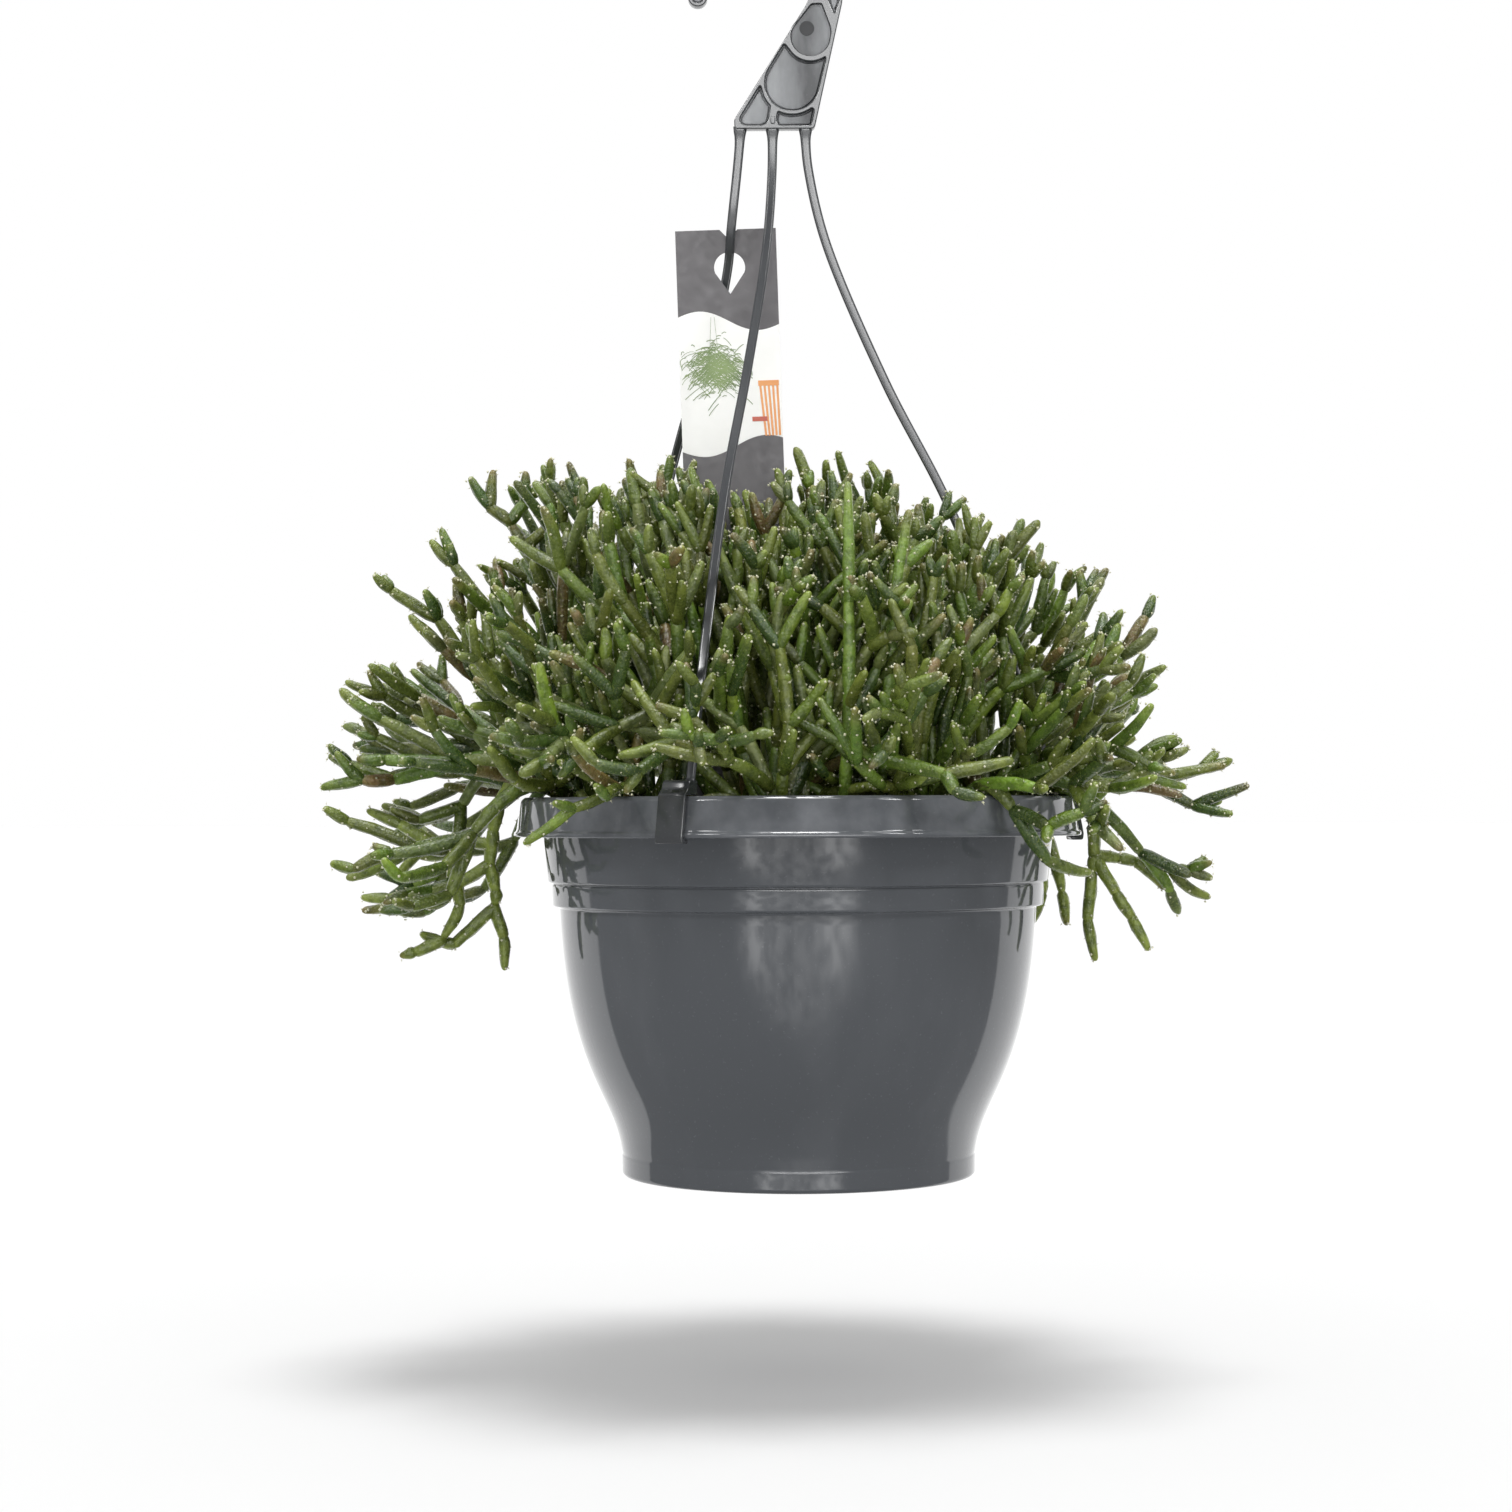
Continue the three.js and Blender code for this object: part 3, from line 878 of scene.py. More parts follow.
@dataclass
class Growing:
    """The peat in the pot and the plugs that the cuttings were rooted in. Sizes in millimetres."""

    pot: Pot
    crumbs: int = 520
    seed: int = 11

    def __post_init__(self) -> None:
        """Read the soil's mean level, just under its highest crumbs."""
        self.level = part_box("potting_soil")[1].z - 1.2 * MM

    def surface(self, x: float, y: float) -> float:
        """The soil's height at a place, in metres."""
        return self.level + 1.6 * MM * noise.fractal(Vector((x, y, 0)) / (14 * MM), 0.7, 2.1, 5)

    def soil(self, finishes: Finishes) -> bpy.types.Object:
        """Make the soil: a block that fills the pot, with a crumbly top.

        Args:
            finishes: The plant's materials.

        Returns:
            The soil.
        """
        inner = np.array(self.pot.wall_line(-self.pot.wall - 0.4))
        inner = inner[inner[:, 1] < SOIL_TOP - 2]
        low = self.pot.base + 0.4
        edge = inner[-1, 0]
        rings = np.linspace(edge, 1.5, 64)
        side = [[0, low], [self.pot.flat, low], *inner.tolist(), [edge, SOIL_TOP - 1.5]]
        profile = np.array(side + [[radius, SOIL_TOP] for radius in rings] + [[0, SOIL_TOP]]) * MM
        points, faces = lathe(profile, 168)
        top = points[:, 2] > (SOIL_TOP - 1) * MM
        for i in np.flatnonzero(top):
            points[i, 2] = self.surface(points[i, 0], points[i, 1])
        parts = MeshParts()
        parts.add(points, faces)
        self.scatter(parts, edge * MM)
        return place(parts.build("potting_soil_fill", [finishes.soil]), Slot.SOIL, "potting_soil")

    def scatter(self, parts: MeshParts, edge: float) -> None:
        """Strew loose crumbs over the soil's top.

        Args:
            parts: The soil's bodies.
            edge: The radius of the soil's top.
        """
        draw = np.random.default_rng(self.seed)
        lump, faces = lathe(np.array([[0, -1], [0.8, -0.6], [1, 0], [0.7, 0.7], [0, 1]]), 7)
        for _ in range(self.crumbs):
            radius, angle = edge * 0.97 * math.sqrt(draw.random()), draw.uniform(0, 360)
            x, y = on_circle(radius, angle)
            size = draw.uniform(0.7, 2.3) * MM
            size = size * np.array([1, draw.uniform(0.6, 1.4), draw.uniform(0.5, 0.9)])
            shape = lump * size * draw.uniform(0.75, 1.25, lump.shape)
            spot = np.array([x, y, self.surface(x, y) + 0.3 * MM])
            parts.add(shape + spot, faces, 0, draw.uniform(0.7, 2.2) * np.array([1, 0.92, 0.85]))

    def plug(self, number: int, finishes: Finishes) -> bpy.types.Object:
        """Make one root plug: a tapered pressed-peat cylinder with a rough skin.

        Args:
            number: The plug's number.
            finishes: The plant's materials.

        Returns:
            The plug.
        """
        node = f"root_plug_{number:02d}"
        low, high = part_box(node)
        middle, width = (low + high) / 2, (high.x - low.x) / 2
        heights = np.linspace(low.z, high.z, 15)
        radii = np.linspace(0.78, 1.0, 15) * width - 0.3 * MM
        profile = np.array([[0, low.z], *zip(radii, heights), [radii[-1] * 0.5, high.z], [0, high.z]])
        points, faces = lathe(profile, 28)
        away = unit(points * [1, 1, 0])
        centre = [middle.x, middle.y, 0]
        rough = np.array([noise.fractal(Vector(p + centre) / (5 * MM), 0.8, 2.0, 3) for p in points])
        points = points + away * (rough[:, None] * 0.35 * MM) + centre
        parts = MeshParts()
        parts.add(points, faces)
        return place(parts.build(f"plug_{number:02d}", [finishes.plug]), Slot.PEAT, node)


# ---------------------------------------------------------------- hanger


@dataclass
class Hanger:
    """The one-piece moulded hanger: hook, ribbed plate, three arms and their clips. Sizes in millimetres."""

    depth: float = 5.0
    web: float = 1.1
    rib: float = 1.5
    hook_centre: tuple = (-11.5, 506.0)
    hook_outer: float = 32.0
    hook_width: float = 8.0
    tip: float = 480.0
    plate_foot: float = 425.7
    clip_width: float = 11.4
    clip_top: float = 158.8
    arm_flare: float = 0.5
    directions: tuple = (("right", 5.0), ("back_left", 125.0), ("front", 245.0))

    def hook_outline(self) -> Array:
        """The plate and hook's outline in X and Z.

        Returns:
            The outline's points, in metres.
        """
        x, z = self.hook_centre
        inner = self.hook_outer - self.hook_width
        end = self.hook_width / 2
        right = [[8.4, self.plate_foot + 1.2], [19.6, 477.4], [20.6, 488], [x + self.hook_outer, z]]
        left = [[x + inner, z], [11.4, 494], [8.4, 484.6], [4.6, 476.2], [-24.8, self.plate_foot + 3.8]]
        outline = [
            [-24.6, self.plate_foot],
            [7.6, self.plate_foot],
            *right,
            *arc((x, z), self.hook_outer, 0, 180, 40)[1:],
            *arc((x - self.hook_outer + end, self.tip), end, 180, 360, 14),
            *arc((x, z), inner, 180, 0, 34)[:-1],
            *left,
        ]
        return rounded(outline, 1.0, 3) * MM

    def cells(self) -> list[Array]:
        """The sunk cells between the ribs: plate cells, then the channel up the shank and round the hook.

        Returns:
            Each cell's outline in X and Z, in metres.
        """
        upper = [6.6, 463.6]
        large = [-1.0, 444.4]
        x, z = self.hook_centre
        middle = self.hook_outer - self.hook_width / 2
        half = self.hook_width / 2 - self.rib
        upper_drop = [
            *arc(upper, 8.7, 152, 345, 22),
            [15.7, 465.6],
            [15.2, 468.2],
            [11.6, 477.8],
            [6.6, 477.6],
        ]
        lower_drop = [
            *arc(large, 11.2, 152, 350, 24),
            [12.7, 453.4],
            *arc(upper, 10.3, 306, 212, 12),
            [-4.2, 460.8],
        ]
        corner = [
            [-22.4, 430.2],
            [-22.2, 428.2],
            [-20.2, 427.2],
            [-13.6, 427.1],
            [-11.1, 428.4],
            [-10.6, 431.2],
            *arc(large, 12.9, 226, 204, 5),
            [-14.0, 443.8],
        ]
        bar = [
            [-6.2, 427.1],
            [6.8, 427.1],
            [8.0, 433.6],
            *arc(large, 12.9, 308, 243, 9),
            [-7.3, 430.8],
            [-7.4, 428.6],
        ]
        wedge = [[16.4, 472.6], [18.2, 477.6], [18.9, 486.5], [18.7, 490], [13.9, 478.6]]
        channel = [
            [8.4, 480.4],
            [12.2, 480.6],
            [17.4, 493],
            *arc((x, z), middle + half, 0, 180, 36),
            *arc((x - middle, self.tip), half, 180, 360, 8),
            *arc((x, z), middle - half, 180, 0, 30),
            [12.2, 489],
        ]
        shapes = (upper_drop, lower_drop, corner, bar, wedge, channel)
        return [rounded(shape, 1.2, 4) * MM for shape in shapes]

    def plate(self, parts: MeshParts) -> None:
        """Add the ribs, the web behind them, the ejector disc and the plain pad.

        Args:
            parts: The hanger's bodies.
        """
        parts.add_mesh(flat_body([self.hook_outline(), *self.cells()], self.depth * MM, 0.42 * MM))
        # Finish 2, the web and cell floors, is painted darker as painted shade, with painted sheen.
        parts.add_mesh(flat_body([self.hook_outline()], self.web * MM, 0.3 * MM), 2)
        for cell in self.cells():
            parts.add_mesh(flat_body([cell], (self.web + 1.3) * MM, 0.55 * MM, 0.4 * MM), 2)
        front = -(self.web / 2 + 0.72) * MM
        disc = np.array(arc((5.1, 467.1), 3.0, 0, 360, 30)[:-1]) * MM
        parts.add_mesh(moved(flat_body([disc], 0.3 * MM, 0.08 * MM), shift=(0, front, 0)), 1)
        pad = rounded([[-9.9, 427.6], [-8.0, 427.6], [-8.0, 430.8], [-9.9, 430.8]], 0.8) * MM
        parts.add_mesh(moved(flat_body([pad], 1.2 * MM, 0.3 * MM), shift=(0, -(self.depth / 2) * MM, 0)))

    def arm_paths(self) -> dict[str, Points]:
        """Points down each arm, from inside the plate's foot to the top of its clip.

        Returns:
            Each arm's points, in millimetres.
        """
        return {
            "right": [
                [4.4, 0, 427], [4.5, 0, 420], [5.6, 0.3, 409], [12.5, 1.2, 380],
                [36.9, 4.4, 322.6], [62.2, 7.6, 273.8], [86, 10.6, 215],
            ],
            "front": [
                [-9.1, 0, 427], [-9.1, 0, 420], [-9.4, -1, 407], [-11.6, -8, 377],
                [-19.8, -31.6, 322], [-28.2, -55, 273.8], [-35.6, -78, 215],
            ],
            "back_left": [
                [-22.3, 0, 427], [-22.6, 0, 420], [-23.6, 0, 409], [-26.2, 2, 385],
                [-27.5, 9.5, 371.5], [-33, 21.5, 348], [-47.6, 42, 307], [-57.7, 58, 266.5],
                [-62.6, 73, 215],
            ],
        }

    def arm_line(self, name: str, direction: float, steps: int = 150) -> Array:
        """One arm's middle line.

        Args:
            name: The arm's name.
            direction: Where it meets the rim, in degrees from +X.
            steps: How many points to return.

        Returns:
            The line's points, in metres.
        """
        end = on_circle(107, direction) + on_circle(4, direction + 90)
        return smooth_path([*self.arm_paths()[name], [*end, self.clip_top - 1]], steps) * MM

    def arm_section(self) -> Array:
        """The arm's section: a flat strap with a round rib standing out along its middle."""
        right = [[1.9, -0.9], [1.9, 0.1], [1.4, 0.3], [1.2, 1.6]]
        left = [[-x, y] for x, y in reversed(right)]
        return rounded([left[-1], *right, *left[:-1]], 0.24, 3) * MM

    def arm(self, parts: MeshParts, name: str, direction: float) -> None:
        """Add one arm, its rib turning from the plate's face to the pot's outside on the way down.

        Args:
            parts: The hanger's bodies.
            name: The arm's name.
            direction: Where it meets the rim, in degrees from +X.
        """
        line = self.arm_line(name, direction)
        heights = line[:, 2] / MM
        share = np.interp(heights, [170, 250], [1, 0])[:, None]
        outward = np.array([*on_circle(1, direction), 0])
        facing = unit((1 - share) * np.array([0, -1.0, 0]) + share * outward)
        points, faces = sweep(line, self.arm_section(), facing)
        corners = len(self.arm_section())
        spine = np.repeat(line, corners, axis=0)
        below = np.maximum(self.plate_foot - heights, 0)
        flare = np.repeat(1 + self.arm_flare * np.exp(-below / 2.6), corners)[:, None]
        offset = (points - spine) * flare
        if name == "front":
            flat = np.repeat(np.interp(heights, [362, 412], [0.25, 1]), corners)
            along = unit(np.gradient(line, axis=0))
            front = np.repeat(np.cross(along, unit(np.cross(facing, along))), corners, axis=0)
            stand = np.maximum((offset * front).sum(axis=1) - 0.35 * MM, 0)
            offset -= front * (stand * (1 - flat))[:, None]
        parts.add(spine + offset, faces)

    def clip(self, parts: MeshParts, direction: float) -> None:
        """Add one clip: a strap over the rim that hooks under the skirt.

        Args:
            parts: The hanger's bodies.
            direction: Where it stands on the rim, in degrees from +X.
        """
        outline = [
            [103.8, 153.1],
            [112.2, 153.1],
            [115.3, 137.3],
            [115.3, 136.6],
            [111.9, 136.6],
            [112.1, 134.9],
            [116.9, 134.9],
            [117.3, 137.4],
            [114.2, 153.6],
            [111.6, 155.4],
            [110.4, 158.2],
            [108.8, self.clip_top],
            [103.8, self.clip_top],
        ]
        strap = flat_body([rounded(outline, 0.8, 4) * MM], self.clip_width * MM, 0.45 * MM)
        parts.add_mesh(moved(strap, turn=direction))

    def build(self, finishes: Finishes) -> bpy.types.Object:
        """Make the whole moulding as one piece.

        Args:
            finishes: The plant's materials.

        Returns:
            The hanger.
        """
        parts = MeshParts()
        self.plate(parts)
        for name, direction in self.directions:
            self.arm(parts, name, direction)
            self.clip(parts, direction)
        piece = parts.build("pot_hanger", [finishes.hanger, finishes.disc, finishes.web])
        names = [name for name, _ in self.directions]
        nodes = ["hanger_hook", *(f"hanger_arm_{n}" for n in names), *(f"rim_clip_{n}" for n in names)]
        return place(piece, Slot.HANGER, *nodes)


# ---------------------------------------------------------------- plant label


@dataclass
class PlantLabel:
    """The stick-in card with its notch, slit and teardrop hole. Sizes in millimetres, up from its tip."""

    width: float = 41.5
    length: float = 289.0
    shoulder: float = 34.0
    thickness: float = 0.5
    lean: float = -1.8
    tip: tuple = (-19.5, 9.5, 97.8)
    leaves: int = 460
    slats: int = 5
    seed: int = 5

    def hole(self) -> Points:
        """The notch, slit and teardrop hole, from the right of the notch round to its left.

        Returns:
            The points, across and up.
        """
        x, round_middle, half = 1.2, 273.3, 6.4
        return [
            [x + 3.7, self.length],
            [x + 0.2, self.length - 3.7],
            [x + 0.2, 279.7],
            *arc((x, round_middle), half, 86, -20, 10),
            [x, 262.4],
            *arc((x, round_middle), half, 200, 94, 10),
            [x - 0.2, self.length - 3.7],
            [x - 3.7, self.length],
        ]

    def wave(self, high: bool) -> Points:
        """The wavy edge between two printed fields.

        Args:
            high: Whether it's the upper edge.

        Returns:
            The edge's points, from left to right.
        """
        across = np.linspace(-self.width / 2, self.width / 2, 25)
        share = across / self.width + 0.5
        if high:
            level = 252.4 + 3.6 * np.sin(2 * math.pi * (share * 0.92 + 0.04)) - 2.2 * share
        else:
            level = 198.2 - 3.4 * np.sin(2 * math.pi * (share * 0.9 + 0.02)) + 2.6 * share
        return np.stack([across, level], axis=1).tolist()

    def field_shapes(self) -> list[tuple[Points, int]]:
        """The card's printed fields and the finish of each."""
        half = self.width / 2
        high, low = self.wave(True), self.wave(False)
        top = [*high, [half, self.length], *self.hole(), [-half, self.length]]
        middle = [*low, *high[::-1]]
        foot = [[-half, self.shoulder], [0, 0], [half, self.shoulder], *low[::-1]]
        return [(top, 1), (middle, 0), (foot, 1)]

    def stroke(self, parts: MeshParts, line: Array, breadth: float, finish: int, lift: float = 0.29) -> None:
        """Lay a thin printed stroke on the card's face.

        Args:
            parts: The label's bodies.
            line: The stroke's points, across and up.
            breadth: Its width.
            finish: Its material's number.
            lift: How far in front of the card's middle it lies.
        """
        path = np.c_[line[:, 0], np.full(len(line), -lift), line[:, 1]]
        thin = np.array([[-breadth / 2, 0], [breadth / 2, 0], [breadth / 2, 0.04], [-breadth / 2, 0.04]])
        points, faces = sweep(path, thin, np.tile([0.0, -1.0, 0.0], (len(path), 1)))
        parts.add(points * MM, faces, finish)

    def picture(self, parts: MeshParts) -> None:
        """Print a plain motif of a trailing plant and some upright slats.

        Args:
            parts: The label's bodies.
        """
        draw = np.random.default_rng(self.seed)
        middle = np.array([-6.6, 232.5])
        for _ in range(self.leaves):
            root = middle + draw.normal(0, [4.6, 4.4])
            angle = draw.uniform(-0.5, math.pi + 0.5)
            reach = draw.uniform(2.5, 8.5)
            end = root + reach * np.array([math.cos(angle), 0.8 * math.sin(angle) - 0.7])
            bend = (root + end) / 2 + [0, draw.uniform(0.5, 2.5)]
            end[0] = np.clip(end[0], -self.width / 2 + 0.8, 9)
            shares = np.linspace(0, 1, 6)[:, None]
            line = bent(root, bend, end, shares)
            self.stroke(parts, line, draw.uniform(0.16, 0.34), 2, draw.uniform(0.28, 0.36))
        for side in (-1.6, 1.8):
            self.stroke(parts, np.array([middle + [side, 6], middle + [side * 0.4, 20.5]]), 0.12, 2)
        for i in range(self.slats):
            foot, head = np.array([13.9 + 1.42 * i, 203.4]), np.array([12.1 + 1.75 * i, 224.4])
            self.stroke(parts, np.array([foot, head]), 0.9, 3)
        self.stroke(parts, np.array([[11.3, 225.1], [19.8, 225.1]]), 2.2, 3, 0.34)
        self.stroke(parts, np.array([[8.4, 210.4], [14.6, 210.4]]), 1.9, 4, 0.34)

    def build(self, finishes: Finishes) -> bpy.types.Object:
        """Make the label in its place.

        Args:
            finishes: The plant's materials.

        Returns:
            The label.
        """
        parts = MeshParts()
        for shape, finish in self.field_shapes():
            parts.add_mesh(flat_body([np.array(shape) * MM], self.thickness * MM, 0.06 * MM), finish)
        self.picture(parts)
        prints = [
            finishes.card,
            finishes.dark_print,
            finishes.green_print,
            finishes.orange_print,
            finishes.red_print,
        ]
        piece = parts.build("plant_label_card", prints, smooth=False)
        moved(piece.data, tilt=self.lean, shift=np.array(self.tip) * MM)
        return place(piece, Slot.LABEL, "plant_label")


# ---------------------------------------------------------------- the bush


@dataclass
class Outline:
    """How far the bush reaches from its middle, in millimetres by elevation in degrees, on each side."""

    middle: tuple = (0.0, 0.0, 147.0)
    elevations: tuple = (-40, -30, -20, -10, 0, 10, 20, 30, 45, 60, 75, 90)
    reach: dict = field(
        default_factory=lambda: {
            Side.RIGHT: (100, 130, 150, 174, 180, 172, 168, 164, 150, 142, 142, 144),
            Side.LEFT: (112, 134, 165, 186, 192, 194, 192, 190, 184, 160, 144, 144),
            Side.FRONT: (100, 114, 118, 124, 134, 142, 144, 140, 132, 130, 134, 138),
            Side.BACK: (100, 120, 145, 158, 162, 158, 150, 142, 130, 124, 128, 138),
        }
    )
    lowest: dict = field(
        default_factory=lambda: {Side.RIGHT: -15, Side.LEFT: -11, Side.FRONT: 1, Side.BACK: -14}
    )

    def weights(self, direction: Array) -> dict[Side, Array]:
        """How much each side counts in some directions.

        Args:
            direction: The directions, in radians from +X.

        Returns:
            Each side's share, the four adding up to one.
        """
        across, along = np.cos(direction), np.sin(direction)
        return {
            Side.RIGHT: np.maximum(across, 0) ** 2,
            Side.LEFT: np.maximum(-across, 0) ** 2,
            Side.BACK: np.maximum(along, 0) ** 2,
            Side.FRONT: np.maximum(-along, 0) ** 2,
        }

    def limit(self, away: Array) -> Array:
        """The bush's reach along some directions.

        Args:
            away: Vectors from the bush's middle, one to a row.

        Returns:
            How far it reaches along each, in metres.
        """
        flat = np.linalg.norm(away[:, :2], axis=1)
        elevation = np.degrees(np.arctan2(away[:, 2], flat))
        shares = self.weights(np.arctan2(away[:, 1], away[:, 0]))
        total = sum(
            share * np.interp(elevation, self.elevations, self.reach[side]) for side, share in shares.items()
        )
        return total * MM

    def depth(self, points: Array) -> Array:
        """How far out points lie.

        Args:
            points: The points, one to a row.

        Returns:
            Each point's distance as a share of the bush's reach in its direction.
        """
        away = np.atleast_2d(points) - np.array(self.middle) * MM
        return np.linalg.norm(away, axis=1) / self.limit(away)

    def hangs_too_low(self, point: Array) -> bool:
        """Whether a point lies below the lowest stems in its direction.

        Args:
            point: The point.

        Returns:
            True if it does.
        """
        away = point - np.array(self.middle) * MM
        rise = math.degrees(math.atan2(away[2], math.hypot(away[0], away[1])))
        return rise < self.lowest_at(math.degrees(math.atan2(away[1], away[0]))) - 4

    def lowest_at(self, degrees: float) -> float:
        """The lowest elevation of stems in a direction, in degrees."""
        shares = self.weights(np.radians(degrees))
        return float(sum(share * self.lowest[side] for side, share in shares.items()))


@dataclass
class Obstacles:
    """What the stems grow round: the rim and wall, the hanger's arms and clips, and the label."""

    pot: Pot
    arm_lines: list[Array]
    clips: tuple
    label: PlantLabel

    def __post_init__(self) -> None:
        """Note the pot's wall line in metres."""
        self.wall = np.array(self.pot.wall_line(0)) * MM

    def wall_radius(self, height: float) -> float:
        """The pot's outer radius at a height, both in metres."""
        if height > (self.pot.skirt_foot - 1) * MM:
            return (self.pot.skirt_radius + 0.3) * MM
        return float(np.interp(height, self.wall[:, 1], self.wall[:, 0]))

    def clear_of_pot(self, points: Array, radius: float) -> Array:
        """Move points out of the pot's rim and wall.

        Args:
            points: Points on stems, one to a row.
            radius: The stem's radius.

        Returns:
            The points, moved just clear.
        """
        moved_points = points.copy()
        top, mouth = (self.pot.height + 0.6) * MM, (self.pot.neck_radius - 3.5) * MM
        for i, (x, y, z) in enumerate(points):
            out = math.hypot(x, y)
            if out < mouth - radius:
                if z < SOIL_TOP * MM + radius and out > 1 * MM:
                    moved_points[i, 2] = max(z, SOIL_TOP * MM)
                continue
            limit = self.wall_radius(z) + radius + 0.8 * MM
            if out < limit and z < top + radius:
                if z > 146 * MM or out < 108 * MM:
                    moved_points[i, 2] = top + radius
                else:
                    moved_points[i, :2] *= limit / out
        return moved_points

    def in_pot(self, points: Array, radius: float) -> bool:
        """Whether a stretch of stem runs into the rim, the wall or a rim clip.

        Args:
            points: Points along the stem.
            radius: The stem's radius.

        Returns:
            True if any point does.
        """
        out = np.hypot(points[:, 0], points[:, 1])
        low = points[:, 2] < (self.pot.height + 0.4) * MM + 0.85 * radius
        walls = np.array([self.wall_radius(z) for z in points[:, 2]])
        rim = low & (out > (self.pot.neck_radius - 3) * MM - radius) & (out < walls + 0.85 * radius)
        if rim.any():
            return True
        level = (points[:, 2] < 159.5 * MM + radius) & (points[:, 2] > 133 * MM)
        near = level & (out > 102 * MM) & (out < 118 * MM + radius)
        for direction in self.clips:
            beside = np.abs(points[:, :2] @ on_circle(1, direction + 90)) < 6 * MM + radius
            if (near & beside & (points[:, :2] @ on_circle(1, direction) > 0)).any():
                return True
        return False

    def hits(self, points: Array, radius: float) -> bool:
        """Whether a stretch of stem runs into the pot, an arm or the label.

        Args:
            points: Points along the stem.
            radius: The stem's radius.

        Returns:
            True if any point does.
        """
        if self.in_pot(points, radius):
            return True
        for line in self.arm_lines:
            gap = np.linalg.norm(points[:, None] - line[None], axis=2).min()
            if gap < radius + 2.6 * MM:
                return True
        return self.hides_arm(points) or bool(self.at_label(points, radius).any())

    def hides_arm(self, points: Array) -> bool:
        """Whether points stand before the upper part of the front arm.

        Args:
            points: The points, one to a row.

        Returns:
            True if any point does.
        """
        line = self.arm_lines[-1][::-1]
        x, y = (np.interp(points[:, 2], line[:, 2], line[:, axis]) for axis in (0, 1))
        high = points[:, 2] > 207 * MM
        return bool((high & (points[:, 1] < y) & (np.abs(points[:, 0] - x) < 4.5 * MM)).any())

    def at_label(self, points: Array, radius: float) -> Array:
        """Which points lie in the label's card.

        Args:
            points: Points along a stem.
            radius: The stem's radius.

        Returns:
            True or False for each point.
        """
        x, y, z = np.array(self.label.tip) * MM
        middle = x + (points[:, 2] - z) * math.tan(math.radians(self.label.lean))
        beside = np.abs(points[:, 0] - middle) > (self.label.width / 2 + 0.6) * MM + radius
        return ~beside & (np.abs(points[:, 1] - y) < radius + 0.7 * MM)

    def steer(self, points: Array, radius: float) -> Array:
        """Bend a long stem aside from the arms and the label.

        Args:
            points: Points along the stem.
            radius: The stem's radius.

        Returns:
            The points, moved just clear.
        """
        steered = points.copy()
        side = math.copysign(1.0, points[-1, 1] - self.label.tip[1] * MM)
        blocked = self.at_label(steered, radius)
        steered[blocked, 1] = self.label.tip[1] * MM + side * (radius + 0.8 * MM)
        need = radius + 3.0 * MM
        for line in self.arm_lines:
            for i in range(1, len(steered)):
                away = steered[i] - line
                nearest = int(np.argmin(np.linalg.norm(away, axis=1)))
                gap = np.linalg.norm(away[nearest])
                if gap < need:
                    steered[i] += unit(away[nearest] * [1, 1, 0.2]) * (need - gap)
        return steered


